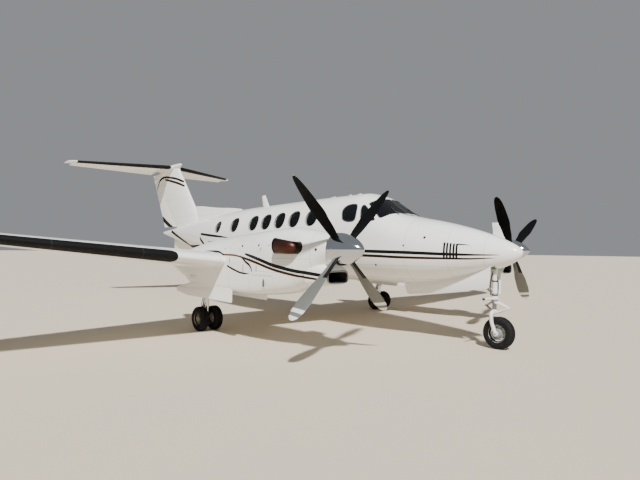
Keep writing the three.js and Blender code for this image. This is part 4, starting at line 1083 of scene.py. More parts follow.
def noseArc(radius, steps=16):
    angles = [math.pi / 2 + math.pi * i / steps for i in range(steps + 1)]
    return [(radius * math.cos(angle), radius * math.sin(angle)) for angle in angles]


def surfaceOutline(end):
    chord, edge = end["chord"], wing["edge"] / 1000
    return [*noseArc(end["radius"]), (chord, -edge), (chord, edge)]


def coveOutline(end):  # the arc ahead of the hinge, and all that is behind it
    far, high = 1.5, 0.3
    arc = noseArc(end["radius"] + wing["coveGap"] / 1000)
    return [*arc, (0, -high), (far, -high), (far, high), (0, high)]


def acrossHinge(ends, up, outline, reach=0.0):
    first, second, axis, aft, lift = hingeFrame(ends, up)
    rings = []
    for end, origin, way in ((ends[0], first, -1), (ends[1], second, 1)):
        origin = origin + axis * way * reach
        rings.append([origin + aft * back + lift * high for back, high in outline(end)])
    return rings


def hingedSurface(name, ends, up):
    return skin(name, acrossHinge(ends, up, surfaceOutline))


def cove(ends, up, endGap=0.0):
    return skin("cove", acrossHinge(ends, up, coveOutline, endGap))


# Hinge arms on what carries a surface, and the notches they stand in
def hingePlates(ends, up, shares, halfWidth, outlineAt):
    first, second, axis, aft, lift = hingeFrame(ends, up)
    plates = []
    for share in shares:
        radius = ends[0]["radius"] + share * (ends[1]["radius"] - ends[0]["radius"])
        middle = first.lerp(second, share)
        plates.append(skin("plate", [
            [middle + axis * along + aft * back + lift * high for back, high in outlineAt(radius)]
            for along in (-halfWidth, halfWidth)
        ]))
    return plates


def hingeNotches(ends, up, shares):
    deep, behind = arm["notchAhead"], arm["notchBehind"]
    outline = [(-deep, -deep), (behind, -deep), (behind, deep), (-deep, deep)]
    return hingePlates(ends, up, shares, arm["notchHalf"], lambda radius: outline)


def hingeArms(ends, up, shares):
    half = arm["half"]
    turns = [math.radians(degrees) for degrees in range(-90, 91, 20)]
    tip = [(half * math.cos(turn), half * math.sin(turn)) for turn in turns]

    def outlineAt(radius):
        root = -(radius + arm["root"])
        return [(root, -half), *tip, (root, half)]
    return hingePlates(ends, up, shares, half, outlineAt)


def wingHinge(side, out):
    _, lead, height, chord, ratio, _ = wingCornerAt(out)
    share = wing["hingeShare"]
    return {
        "hinge": pointAt(lead + chord * share, side * out, height),
        "radius": (chord * halfThickness(share, ratio) - 1) / 1000,
        "chord": chord * (1 - share) / 1000,
    }


# Inner end, outer end and shares of the span where hinge arms stand
wingSurfaces = {
    "flap_inboard": (930, 2150, ()), "flap_outboard": (3160, 5640, ()), "aileron": (5700, 8120, (0.2, 0.8)),
}
centreOuts = [-3100, -3000, -1900, -640, 640, 1900, 3000, 3100]
panelOuts = [3101, 3600, 4600, 5650, 6800, 7800, 8200, *spread(8300, 8814, 24)]
upward = Vector((0, 0, 1))


def makeWings():
    def wingCove(ends):
        return cove(ends, upward, wing["endGap"] / 1000)

    centre = skin("wing_centre_skin", [wingRing(abs(out), 1 if out > 0 else -1) for out in centreOuts])
    flapOuts = wingSurfaces["flap_inboard"][:2]
    carve(centre, [wingCove([wingHinge(side, out) for out in flapOuts]) for side in sides.values()])
    dress(centre, "wing", nodes=["wing_centre"])
    for name, side in sides.items():
        panel = skin(f"wing_{name}_skin", [wingRing(out, side) for out in panelOuts])
        coves, arms = [], []
        for surface, (inner, outer, shares) in wingSurfaces.items():
            ends = [wingHinge(side, inner), wingHinge(side, outer)]
            if inner > wing["joint"]:
                coves.append(wingCove(ends))
                arms.extend(hingeArms(ends, upward, shares))
            piece = hingedSurface(f"{surface}_{name}_skin", ends, upward)
            if shares:
                carve(piece, hingeNotches(ends, upward, shares))
            dress(piece, "wing", f"{surface}_{name}_body", [f"{surface}_{name}"])
        carve(panel, coves)
        dress(panel, "wing", nodes=[f"wing_{name}"])
        dress(merged(f"aileron_hinges_{name}", arms), "steel")


makeWings()
print("wings made")

# Nacelles, in the fuselage's columns
nacelleTable = SmoothTable([
    [1620, 232, 1882, 1424, 1650, 2, 2],
    [1760, 256, 1900, 1350, 1630, 2, 2.1],
    [1920, 282, 1920, 1240, 1590, 2.1, 2.3],
    [2150, 320, 1955, 1070, 1520, 2.2, 2.6],
    [2470, 352, 1988, 955, 1460, 2.3, 3.4],
    [2900, 374, 1972, 900, 1420, 2.4, 4.6],
    [3300, 384, 1940, 880, 1400, 2.4, 7],
    [3900, 390, 1892, 898, 1380, 2.4, 13],
    [4700, 388, 1816, 912, 1380, 2.2, 13],
    [5300, 376, 1726, 935, 1385, 2, 10],
    [5700, 354, 1646, 1030, 1390, 2, 4],
    [6100, 300, 1560, 1132, 1395, 2, 3.2],
    [6500, 190, 1470, 1220, 1390, 2, 2.4],
    [6760, 70, 1410, 1330, 1375, 2, 2],
])
intakeTable = SmoothTable([
    [1590, 222, 1348, 1136, 1242, 4.5, 4.5],
    [1650, 230, 1408, 1124, 1248, 3.6, 4.3],
    [1760, 244, 1430, 1112, 1250, 3.6, 4],
    [2050, 270, 1420, 1075, 1240, 3.5, 3.5],
])
intakeHoleTable = SmoothTable([
    [1580, 196, 1322, 1160, 1241, 4.5, 4.5],
    [1780, 186, 1316, 1168, 1241, 4.5, 4.5],
    [2300, 186, 1316, 1168, 1241, 4.5, 4.5],
])
# Stations and wall in millimetres; lip, holes and voxels in metres; smoothing in passes
cowl = {
    "shape": (1620, 3400), "chin": (1590, 2050), "hollow": (1700, 3600), "duct": (1605, 2290), "end": 3300,
    "wall": 25, "lip": 0.013, "shaftHole": 0.12, "stackHole": 0.096, "voxel": 0.011, "smoothing": 10,
}
nacelleWell = {"stations": (3950, 5750), "half": 292, "heights": (800, 1195)}
# The stack by the way along it: aft, out and up, its turn from sideways to aft, half depth and height
stack = {"station": 2150, "z": 1.668, "wall": 6, "end": 607, "bore": 240}
stackTable = SmoothTable([
    [0, 0, 150, 0, 0, 84, 88], [180, 0, 330, 0, 0, 84, 92], [254, 34, 396, 2, 34, 84, 98],
    [331, 104, 425, 8, 68, 80, 104], [437, 210, 432, 16, 90, 78, 110], [607, 380, 432, 28, 90, 76, 122],
])


def stackRing(along, y, way, thin, count=36):
    back, out, rise, degrees, depth, height = stackTable.at(along)
    turn = math.radians(degrees)
    ring = []
    for i in range(count):
        wide = (depth - thin) / 1000 * math.cos(math.tau * i / count)
        up = (height - thin) / 1000 * math.sin(math.tau * i / count)
        ring.append(Vector((
            stationX(stack["station"] + back) + wide * math.cos(turn),
            y + way * (out / 1000 + wide * math.sin(turn)),
            stack["z"] + rise / 1000 + up,
        )))
    return ring


def shaftLine(y, *stations):  # points on the propeller's axis
    return [(stationX(station), y, thrustZ) for station in stations]


def makeCowl(name, side):
    y = side * nacelleY
    shape = ovalBody("cowl", nacelleTable, cowl["shape"], y, 0, 50, 80)
    carve(shape, [ovalBody("chin", intakeTable, cowl["chin"], y, 0, 40, 64)], "UNION")
    remesh = shape.modifiers.new("even", "REMESH")
    remesh.mode = "VOXEL"
    remesh.voxel_size = cowl["voxel"]
    smooth = shape.modifiers.new("smooth", "SMOOTH")
    smooth.iterations = cowl["smoothing"]
    applyModifiers(shape)
    stackHole = [(stationX(stack["station"]), y / 1000 + out, stack["z"]) for out in (-0.6, 0.6)]
    carve(shape, [
        ovalBody("hollow", nacelleTable, cowl["hollow"], y, cowl["wall"], 60, 80),
        ovalBody("hole", intakeHoleTable, (1560, 2300), y, 0, 60, 64),
        tube("shaft", shaftLine(y / 1000, 1550, 1820), cowl["shaftHole"], 48),
        tube("stackHole", stackHole, cowl["stackHole"], 40),
        stationBlock("aft", (cowl["end"], 3700), (y - 900, y + 900), (500, 2300)),
    ])
    shape.name = f"cowl_{name}_skin"
    dress(shape, "nacelle", nodes=[f"cowl_{name}"])
    lip = tube(f"intake_lip_{name}", ovalRing(intakeHoleTable, 1592, y, -7, 64), cowl["lip"], 12, True)
    dress(lip, "steel")
    duct = ovalBody("duct", intakeHoleTable, cowl["duct"], y, -1, 60, 48)
    carve(duct, [ovalBody("bore", intakeHoleTable, (1590, 2260), y, 4, 60, 48)])
    duct.name = f"intake_duct_{name}"
    dress(duct, "darkSeal")
    body = ovalBody("body", nacelleTable, (cowl["end"] + 1, 6760), y, 0, 60, 80)
    half = nacelleWell["half"]
    carve(body, [stationBlock("well", nacelleWell["stations"], (y - half, y + half), nacelleWell["heights"])])
    body.name = f"nacelle_{name}_skin"
    dress(body, "nacelle", nodes=[f"nacelle_{name}"])


# Engine case, from the firewall forward: station and radius
engineZ = 1.620
engineProfile = [
    (3299.7, 0), (3299.7, 165), (3290, 170), (3180, 205), (3060, 225), (3040, 236), (3020, 225), (2700, 232),
    (2560, 226), (2540, 240), (2500, 240), (2480, 230), (2420, 238), (2120, 250), (1930, 240), (1900, 222),
    (1860, 175), (1850, 152), (1800, 150), (1800, 0),
]


def makeEngine(name, side):
    y = side * nacelleY / 1000
    profile = [(stationX(station), radius / 1000) for station, radius in engineProfile]
    case = turned(f"engine_case_{name}", profile, (0, y, engineZ), (1, 0, 0), 40)
    dress(case, "engine", nodes=[f"engine_{name}"])
    for end, way in (("outer", side), ("inner", -side)):
        rings = [stackRing(along, y, way, 0) for along in spread(0, stack["end"], 36)]
        pipe = skin(f"exhaust_{name}_{end}", rings)
        bore = [stackRing(along, y, way, stack["wall"]) for along in spread(stack["bore"], stack["end"], 24)]
        bore.append([point + Vector((-0.03, 0, 0)) for point in bore[-1]])
        carve(pipe, [skin("bore", bore)])
        dress(pipe, "stack")


# Blade rows: radius, chord, thickness and angle from the disc; phase is a blade's angle at rest
bladeTable = SmoothTable([
    [120, 96, 90, 104], [260, 122, 74, 102], [420, 182, 46, 99], [560, 208, 38, 97], [760, 266, 28, 93],
    [1000, 262, 20, 84], [1190, 220, 14, 80], [1295, 150, 9, 78], [1343, 46, 6, 78],
])
propeller = {"station": 1480, "blades": 4, "shaft": 0.095, "phase": {"left": 33.5, "right": 44.1}}
bladeRadii = [*spread(120, 1300, 30), 1315, 1325, 1334, 1340, 1343]
spinnerStations = [1075, 1076, 1078, 1082, 1090, *spread(1100, 1580, 24), 1594, 1598, 1600]
spinnerTable = SmoothTable([
    [1075, 2], [1080, 18], [1105, 50], [1180, 116], [1280, 174], [1400, 220], [1520, 243], [1594, 246],
    [1600, 244],
])


def makeBlade(y, angle, count=28):
    outward = Vector((0, math.cos(angle), math.sin(angle)))
    turning = Vector((0, -math.sin(angle), math.cos(angle)))  # clockwise as seen from behind
    forward = Vector((1, 0, 0))
    hub = Vector(shaftLine(y, propeller["station"])[0])
    rings = []
    for radius in bladeRadii:
        chord, thick, degrees = bladeTable.at(radius)
        pitch = math.radians(degrees)
        along = turning * math.cos(pitch) + forward * math.sin(pitch)
        across = outward.cross(along)
        centre = hub + outward * radius / 1000
        ring = []
        for i in range(count):
            c, s = math.cos(math.tau * i / count), math.sin(math.tau * i / count)
            depth = 0.5 * s * (1 - 0.25 * c) * (0.8 + 0.2 * abs(s))
            ring.append(centre + (along * c * 0.5 * chord + across * depth * thick) / 1000)
        rings.append(ring)
    blade = skin("blade", rings)
    for finish in ("bladeMetal", "bladeDark"):
        blade.data.materials.append(finishes[finish])
    for face in blade.data.polygons:
        face.material_index = 1 if face.normal.dot(turning) > 0 else 0
    return blade


def makePropeller(name, side):
    y = side * nacelleY / 1000
    body = f"propeller_{name}_body"
    profile = [(stationX(station), spinnerTable.at(station)[0] / 1000) for station in spinnerStations]
    profile = [(stationX(1075), 0), *profile, (stationX(1600), 0)]
    spinner = turned(f"spinner_{name}", profile, (0, y, thrustZ), (1, 0, 0), 64)
    dress(spinner, "spinner", body, [f"propeller_{name}"])
    shaft = tube(f"prop_shaft_{name}", shaftLine(y, 1590, 1799), propeller["shaft"], 32)
    dress(shaft, "steel", body)
    turns = [propeller["phase"][name] + 360 / propeller["blades"] * i for i in range(propeller["blades"])]
    blades = merged(f"blades_{name}", [makeBlade(y, math.radians(turn)) for turn in turns])
    for finish in ("bladeMetal", "bladeDark"):
        blades.data.materials.append(finishes[finish])
    blades.data.shade_smooth()
    blades.data.set_sharp_from_angle(angle=math.radians(50))
    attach(blades, body)


for name, side in sides.items():
    makeCowl(name, side)
    makeEngine(name, side)
    makePropeller(name, side)
print("nacelles and propellers made")


# Tail: each line of the fin by a station, the height it holds at, and its slope
finLines = {"lead": (10710, 2910, 0.822), "trail": (12850, 2090, 0.459), "hinge": (11785, 2319, 0.71)}
finShape = {
    "ratio": 0.09, "heights": (2000, 4262), "hingeEnds": (2010, 4930), "armShares": (0.17, 0.4, 0.63),
    "rudder": (2310, 4130), "rudderNose": 0.92, "rudderChord": 0.82,
}
tailplaneRows = [[0, 11950, 1550], [2700, 13220, 660], [2805, 13350, 530]]
tailplane = {
    "z": 4267, "ratio": 0.11, "hinge": 0.62, "chord": 0.965, "inner": 200, "outer": 2660, "beyond": 300,
    "armShares": (0.25, 0.75), "droop": 14,
}
bulletTable = SmoothTable([
    [11640, 4, 4332, 4324, 4328, 2, 2], [11655, 26, 4350, 4298, 4325, 2, 2],
    [11700, 52, 4362, 4270, 4318, 2, 2], [11900, 84, 4370, 4196, 4290, 2, 2],
    [12500, 88, 4358, 4188, 4276, 2, 2], [12860, 76, 4340, 4200, 4270, 2, 2],
])


def finStation(name, z):
    station, height, slope = finLines[name]
    return station + slope * (z - height)


def rudderEnd(z):
    lead, trail, hinge = (finStation(name, z) for name in finLines)
    chord = trail - lead
    half = chord * halfThickness((hinge - lead) / chord, finShape["ratio"])
    return {
        "hinge": pointAt(hinge, 0, z),
        "radius": (half - 1) * finShape["rudderNose"] / 1000,
        "chord": (trail - hinge) * finShape["rudderChord"] / 1000,
    }


def elevatorHinge(side, out):
    root, tip = tailplaneRows[:2]
    share = out / tip[0]
    lead, chord = (root[i] + share * (tip[i] - root[i]) for i in (1, 2))
    return {
        "hinge": pointAt(lead + chord * tailplane["hinge"], side * out, tailplane["z"]),
        "radius": (chord * halfThickness(tailplane["hinge"], tailplane["ratio"]) - 1) / 1000,
        "chord": chord * (1 - tailplane["hinge"]) * tailplane["chord"] / 1000,
    }


def tailplaneRing(row, side):
    out, lead, chord = row
    outline = sectionOutline(chord, tailplane["ratio"])
    return [pointAt(lead + aft, side * out, tailplane["z"] + up) for aft, up in outline]


# Turns a piece about its hinge line, trailing edge down
def droop(piece, ends, degrees):
    first, _, axis, aft, lift = hingeFrame(ends, upward)
    way = -1 if axis.cross(aft).dot(lift) > 0 else 1
    turn = Matrix.Rotation(way * math.radians(degrees), 4, axis)
    piece.data.transform(Matrix.Translation(first) @ turn @ Matrix.Translation(-first))


ridgeTable = SmoothTable([[8080, 2640], [8120, 2712], [9400, 2812], [10720, 2916], [11300, 2916]])
ridgeStations = [8080, 8086, 8096, 8120, *spread(8200, 10720, 20), 11000, 11300]


def makeFin():
    sideways = Vector((0, 1, 0))
    ends = [rudderEnd(z) for z in finShape["hingeEnds"]]
    rings = []
    for z in spread(*finShape["heights"], 12):
        lead = finStation("lead", z)
        outline = sectionOutline(finStation("trail", z) - lead, finShape["ratio"])
        rings.append([pointAt(lead + aft, up, z) for aft, up in outline])
    fin = carve(skin("fin_skin", rings), [cove(ends, sideways)])
    carve(fin, [stationBlock("under", (11300, 13000), (-300, 300), (1900, 2240))])
    dress(fin, "fin", nodes=["fin"])
    shares = finShape["armShares"]
    dress(merged("rudder_hinges", hingeArms(ends, sideways, shares)), "steel")
    rudder = hingedSurface("rudder_skin", ends, sideways)
    carve(rudder, hingeNotches(ends, sideways, shares))
    span = stationBlock("span", (11000, 14300), (-300, 300), finShape["rudder"], 0.0005)
    carve(rudder, [span], "INTERSECT")
    dress(rudder, "fin", "rudder_body", ["rudder"])
    rings = []
    for station in ridgeStations:
        top, foot = ridgeTable.at(station)[0], fuselageTable.at(station)[1] - 60
        width = 26 * min(1, (top - foot) / 60)
        ring = []
        for i in range(17):
            t = i / 16 * 2 - 1
            flare = width * (1 + 1.6 * abs(t) ** 3)
            out = math.copysign(flare * abs(t) ** 0.6, t)
            ring.append(pointAt(station, out, top - (top - foot) * abs(t) ** 2.2))
        rings.append(ring)
    dress(skin("dorsal_fillet", rings), "fin")


def makeTailplane():
    outer = [tailplaneRing(row, 1) for row in reversed(tailplaneRows[1:])]
    inner = [tailplaneRing(row, -1) for row in tailplaneRows[1:]]
    plane = skin("tailplane_skin", [*outer, tailplaneRing(tailplaneRows[0], 1), *inner])
    low, high, beyond = tailplane["inner"], tailplane["outer"], tailplane["beyond"]
    shares = [(share * (high - low) + low + beyond) / (high + 2 * beyond) for share in tailplane["armShares"]]
    arms, coves = [], []
    for name, side in sides.items():
        ends = [elevatorHinge(side, -beyond), elevatorHinge(side, high + beyond)]

        def span(room):
            ys = (side * (low - room), side * (high + room))
            return stationBlock("span", (12000, 14500), ys, (4000, 4500), 0.0)
        coves.append(carve(cove(ends, upward), [span(wing["endGap"])], "INTERSECT"))
        arms.extend(hingeArms(ends, upward, shares))
        elevator = hingedSurface(f"elevator_{name}_skin", ends, upward)
        carve(elevator, hingeNotches(ends, upward, shares))
        droop(carve(elevator, [span(0)], "INTERSECT"), ends, tailplane["droop"])
        body = f"elevator_{name}_body"
        dress(elevator, "tailplane", body, [f"elevator_{name}"])
    carve(plane, coves)
    dress(plane, "tailplane", nodes=["tailplane"])
    dress(merged("elevator_hinges", arms), "steel")
    bullet = ovalBody("tail_bullet", bulletTable, (11640, 12860), 0, 0, 30, 48)
    carve(bullet, [stationBlock("room", (12905, 13000), (-200, 200), (4100, 4500))])
    dress(bullet, "white")


ventral = {
    "outline": [(10150, 1600), (10600, 1520), (11300, 1500), (12090, 1560), (12110, 2040), (11500, 2040)],
    "corner": 40, "half": 14, "bevel": 0.005,
}


def makeVentral():
    points = roundedOutline(ventral["outline"], ventral["corner"], 4)
    half = ventral["half"]
    plate = skin("ventral_fin", [[pointAt(s, y, z) for s, z in points] for y in (-half, half)])
    softenEdges(plate, ventral["bevel"])
    dress(plate, "fuselage")


makeFin()
makeTailplane()
makeVentral()
print("tail made")

# Landing gear, in metres but for stations; what is turned has rows of height and radius
mainGear = {
    "station": 5333, "tyre": 0.242, "half": 0.080, "twin": 0.149, "rim": 0.118, "width": 0.2915,
    "strut": [
        (1.1947, 0), (1.1947, 0.058), (0.98, 0.058), (0.97, 0.064), (0.93, 0.064), (0.92, 0.056),
        (0.66, 0.053), (0.655, 0.060), (0.625, 0.060), (0.62, 0.0),
    ],
    "axleHub": [(0.07, 0), (0.07, 0.040), (0.05, 0.046), (-0.03, 0.046), (-0.042, 0.036), (-0.042, 0)],
    "brace": [(0, 0.76), (0.31, 0.94), (0.62, 1.12)],
    "hose": [
        (-0.05, 0.05, 1.1), (-0.065, 0.05, 0.85), (-0.075, 0.05, 0.66), (-0.12, 0.06, 0.5),
        (-0.08, 0.055, 0.34), (-0.03, 0.052, 0.26),
    ],
}
noseGear = {
    "station": 480, "half": 0.086, "rim": 0.150, "arm": 0.118, "width": 0.1697,
    "strut": [
        (1.38, 0), (1.38, 0.048), (1.01, 0.047), (1.0, 0.060), (0.94, 0.060), (0.93, 0.046), (0.85, 0.044),
        (0.845, 0.05), (0.82, 0.05), (0.82, 0),
    ],
    "swivel": [(0.8197, 0), (0.8197, 0.056), (0.77, 0.056), (0.765, 0.036), (0.655, 0.036), (0.655, 0)],
    "head": [(0.66, 0), (0.66, 0.036), (0.65, 0.05), (0.6, 0.05), (0.585, 0.04), (0.585, 0)],
    "fitting": [(0.83, 0), (0.83, 0.058), (0.838, 0.064), (0.872, 0.064), (0.88, 0.058), (0.88, 0)],
    "clamps": ((0.895, 0.054), (1.13, 0.053)), "clampHeight": 0.022,
    "hoses": ((-0.012, 0.062, 0.93), (-0.05, -0.045, 0.9)),
}
# Shares of half width, and of the rim's or the tyre's radius; a groove's depth is in metres
tyreShape = {
    "bead": [(0.62, 0.88), (0.84, 1), (0.96, 1.12)],
    "side": [(1, 0.82), (0.93, 0.9), (0.76, 0.962), (0.6, 0.985)],
    "grooves": (-0.48, -0.24, 0, 0.24, 0.48), "grooveTop": 0.05, "grooveFoot": 0.035, "grooveDepth": 0.008,
}
# Metres out from the dish with shares of the rim's radius, and the bore in metres alone
hubShape = {
    "face": [
        (0.012, 1.02), (0.006, 0.99), (-0.012, 0.93), (-0.03, 0.86), (-0.034, 0.55), (-0.012, 0.46),
        (0.002, 0.42),
    ],
    "bore": [(0.006, 0.034), (0.006, 0.0288), (-0.05, 0.0288)],
    "back": [(-0.05, 0.86), (-0.02, 0.98), (0.006, 1.02)],
    "dish": 0.6, "out": 0.012, "count": 8, "turn": 0.2,
}


def upright(name, profile, x, y, steps=40):
    return turned(name, profile, (x, y, 0), (0, 0, 1), steps)


def crossbar(name, x, y, half, z, radius, count):
    return tube(name, [(x, y - half, z), (x, y + half, z)], radius, count)


# A wheel: a tyre with grooves between two hubs with holes and bolts, turned about Y
def makeWheel(name, centre, radius, half, rimRadius, body, node):
    flank = [(-half * out, rimRadius * up) for out, up in tyreShape["bead"]]
    flank += [(-half * out, radius * up) for out, up in tyreShape["side"]]
    profile = flank[:]
    top, foot = tyreShape["grooveTop"], tyreShape["grooveFoot"]
    for groove in tyreShape["grooves"]:
        crown = radius * (1 - 0.02 * groove ** 2)
        low = crown - tyreShape["grooveDepth"]
        for out, height in ((-top, crown), (-foot, low), (foot, low), (top, crown)):
            profile.append((half * (groove + out), height))
    profile += [(-along, height) for along, height in reversed(flank)]
    tyre = turned(f"tyre_{name}", [*profile, profile[0]], centre, (0, 1, 0), 72)
    dress(tyre, "tyre", body, [node], 28)
    dish, count = half * hubShape["dish"], hubShape["count"]

    def rodsAround(way, offset, share, near, far, rodRadius, corners):
        rods = []
        for i in range(count):
            angle = math.tau * (i + offset) / count + hubShape["turn"]
            away = Vector((math.cos(angle), 0, math.sin(angle))) * rimRadius * share
            ends = [Vector(centre) + away + Vector((0, way * (dish + out), 0)) for out in (near, far)]
            rods.append(tube("rod", ends, rodRadius, corners))
        return rods

    for way, facing in ((1, "left"), (-1, "right")):
        face, back = ([(out, rimRadius * share) for out, share in hubShape[key]] for key in ("face", "back"))
        rows = [*face, *hubShape["bore"], *back, face[0]]
        pairs = [(way * (dish + hubShape["out"] + out), height) for out, height in rows]
        hub = turned("hub", pairs, centre, (0, 1, 0), 64)
        carve(hub, rodsAround(way, 0, 0.71, -0.06, 0.04, rimRadius * 0.1, 16))
        bolts = rodsAround(way, 0.5, 0.7, -0.024, -0.012, 0.007, 6)
        whole = merged(f"hub_{name}_{facing}", [hub, *bolts])
        dress(whole, "noseRim" if name == "nose" else "rim", body, angle=30)


def makeLinks(name, x, y, top, elbow, bottom, body):
    knee, foot = x - 0.15, x - 0.03
    arms = []
    for height in (top, bottom):
        for way in (-1, 1):
            ends = [(knee, y + way * 0.012, elbow), (foot, y + way * 0.036, height)]
            arms.append(tube("link", ends, [0.011, 0.014], 10))
    arms.append(crossbar("pin", knee, y, 0.034, elbow, 0.016, 16))
    for height in (top, bottom):
        arms.append(crossbar("pin", foot, y, 0.055, height, 0.013, 16))
    dress(merged(name, arms), "steel", body)


def makeMainGear(name, side):
    gear = mainGear
    x, y, z = stationX(gear["station"]), side * nacelleY / 1000, gear["tyre"]
    for end, out in (("outer", side), ("inner", -side)):
        makeWheel(
            f"main_{name}_{end}", (x, y + out * gear["twin"], z), gear["tyre"], gear["half"], gear["rim"],
            f"main_wheels_{name}", f"main_wheel_{name}_{end}",
        )
    case = upright(f"main_strut_{name}", gear["strut"], x, y)
    dress(case, "gearPaint", nodes=[f"main_leg_{name}"])
    piston = tube(f"main_piston_{name}", [(x, y, 0.64), (x, y, z + 0.02)], 0.036, 36)
    dress(piston, "chrome")
    top = gear["brace"][-1]
    lower = [
        upright("hub", [(z + up, radius) for up, radius in gear["axleHub"]], x, y, 36),
        crossbar("axle", x, y, 0.214, z, 0.028, 28),
        crossbar("cross", x, y, gear["width"], 1.11, 0.04, 28),
        tube("brace", [(x + ahead, y, height) for ahead, height in gear["brace"]], [0.024, 0.026, 0.024], 20),
        crossbar("top", x + top[0], y, gear["width"], top[1], 0.024, 20),
    ]
    for way in (-1, 1):
        lower.append(tube("nut", [(x, y + way * 0.205, z), (x, y + way * 0.22, z)], 0.02, 6))
    dress(merged(f"main_axle_{name}", lower), "steel")
    makeLinks(f"main_links_{name}", x, y, 0.70, 0.47, 0.30, "airframe")
    hoses = []
    for way in (-1, 1):
        route = [(x + ahead, y + way * out, height) for ahead, out, height in gear["hose"]]
        hoses.append(tube("hose", curveThrough(route, 6), 0.007, 10))
    dress(merged(f"brake_hoses_{name}", hoses), "hose")


# Main gear doors, in millimetres; the bevel of their edges in metres
gearDoor = {
    "outline": [(3850, 697), (5400, 722), (5836, 775), (5836, 870), (5300, 972), (5300, 1150), (3850, 1150)],
    "out": 384, "thick": 22, "corner": 30, "bevel": 0.003,
}


def makeGearDoors(name, side):
    points = roundedOutline(gearDoor["outline"], gearDoor["corner"], 4)
    for end, out in (("outer", side), ("inner", -side)):
        node = f"gear_door_{name}_{end}"
        face = side * nacelleY + out * gearDoor["out"]
        ys = (face, face - out * gearDoor["thick"])
        plate = skin(f"{node}_skin", [[pointAt(s, y, z) for s, z in points] for y in ys])
        carve(plate, [ovalBody("room", nacelleTable, (3400, 6700), side * nacelleY, -1.0, 60, 80)])
        low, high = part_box(node)
        spare = Vector((0.001,) * 3)
        carve(plate, [block("trim", low - spare, high + spare, 0.0)], "INTERSECT")
        softenEdges(plate, gearDoor["bevel"], 2, 50)
        dress(plate, "white", nodes=[node])


def makeNoseGear():
    gear = noseGear
    x, wheelX = stationX(gear["station"]), stationX(noseWheel["station"])
    z, y, wide = noseWheel["z"], -gear["arm"], gear["width"]
    makeWheel("nose", (wheelX, 0, z), z, gear["half"], gear["rim"], "nose_wheel_body", "nose_wheel")
    leg = upright("nose_strut", gear["strut"], x, 0)
    dress(leg, "gearPaint", nodes=["nose_leg"])
    braces = [
        crossbar("top", x, 0, wide, 1.34, 0.034, 24),
        tube("brace", [(x, 0, 0.9), (x - 0.56, 0, 1.33)], 0.022, 20),
        crossbar("pin", x - 0.56, 0, wide, 1.33, 0.022, 20),
        tube("actuator", [(x - 0.02, 0.06, 0.97), (x - 0.02, -0.1, 0.97)], 0.018, 20),
    ]
    dress(merged("nose_braces", braces), "steel")
    route = [(x, 0.0, 0.612), (x, y * 0.55, 0.618), (x + 0.004, y, 0.58), (x + 0.02, y, 0.44), (wheelX, y, z)]
    fork = [
        upright("head", gear["head"], x, 0),
        tube("arm", curveThrough(route, 8), [0.036, 0.029], 24),
        tube("boss", [(wheelX, y - 0.014, z), (wheelX, y + 0.02, z)], 0.042, 28),
    ]
    dress(merged("nose_fork_arm", fork), "gearPaint", "nose_steering", ["nose_fork"])
    metal = [
        upright("swivel", gear["swivel"], x, 0),
        tube("axle", [(wheelX, y - 0.012, z), (wheelX, 0.1, z)], 0.028, 28),
        tube("nut", [(wheelX, y - 0.012, z), (wheelX, y - 0.028, z)], 0.018, 6),
    ]
    dress(merged("nose_axle", metal), "steel", "nose_steering")
    makeLinks("nose_links", x, 0, 0.79, 0.72, 0.62, "nose_steering")
    makeScissor(x)
    fixed = [
        tube("bar", [(x, -0.03, 0.85), (x - 0.02, -0.2, 0.85), (x - 0.03, -0.3, 0.85)], [0.024, 0.016], 16),
        tube("damper", [(x + 0.055, 0.05, 1.16), (x + 0.055, 0.05, 0.93)], 0.028, 20),
        tube("damperEye", [(x + 0.03, 0.03, 0.95), (x + 0.07, 0.065, 0.95)], 0.02, 16),
        upright("fitting", gear["fitting"], x, 0, 32),
    ]
    dress(merged("nose_leg_fittings", fixed), "gearPaint")
    dark = []
    for low, radius in gear["clamps"]:
        high = low + gear["clampHeight"]
        dark.append(upright("clamp", [(low, 0), (low, radius), (high, radius), (high, 0)], x, 0, 32))
    for out, ahead, low in gear["hoses"]:
        route = [
            (x + ahead * 0.4, out, 1.3), (x + ahead, out * 1.1, 1.15), (x + ahead * 1.15, out * 1.25, 1.04),
            (x + ahead, out * 1.1, low),
        ]
        dark.append(tube("hose", curveThrough(route, 6), 0.008, 10))
    dress(merged("nose_hoses", dark), "hose")
    knob = tube("nose_bar_end", [(x - 0.03, -0.295, 0.85), (x - 0.033, -0.325, 0.85)], 0.021, 16)
    dress(knob, "darkSeal")


# The white scissor ahead of the nose leg: its arms' height and reach from the leg, and where they meet
scissorShape = {
    "arms": ((0.785, 0.045), (0.612, 0.05)), "elbow": 0.7, "reach": 0.265, "middle": 0.16, "web": 0.13,
}


def makeScissor(x):
    elbow, tip = scissorShape["elbow"], x + scissorShape["reach"]
    parts = []
    for height, foot in scissorShape["arms"]:
        between = (height + elbow) / 2
        for way in (-1, 1):
            middle = (x + scissorShape["middle"], way * 0.034, between)
            ends = [(x + foot, way * 0.052, height), middle, (tip, way * 0.014, elbow)]
            parts.append(tube("arm", curveThrough(ends, 3), [0.019, 0.013], 12))
        parts.append(crossbar("pin", x + foot, 0, 0.068, height, 0.016, 16))
        parts.append(crossbar("web", x + scissorShape["web"], 0, 0.04, between, 0.012, 12))
    parts.append(crossbar("elbow", tip, 0, 0.03, elbow, 0.015, 16))
    dress(merged("nose_scissor", parts), "gearPaint", "nose_steering")


# Nose gear doors, likewise
noseDoor = {
    "outline": [
        (470, 1250), (500, 1017), (662, 997), (1451, 878), (2175, 808), (2250, 960), (2250, 1300),
        (470, 1500),
    ],
    "out": 176, "thick": 16, "top": 1424, "corner": 30, "bevel": 0.002,
}


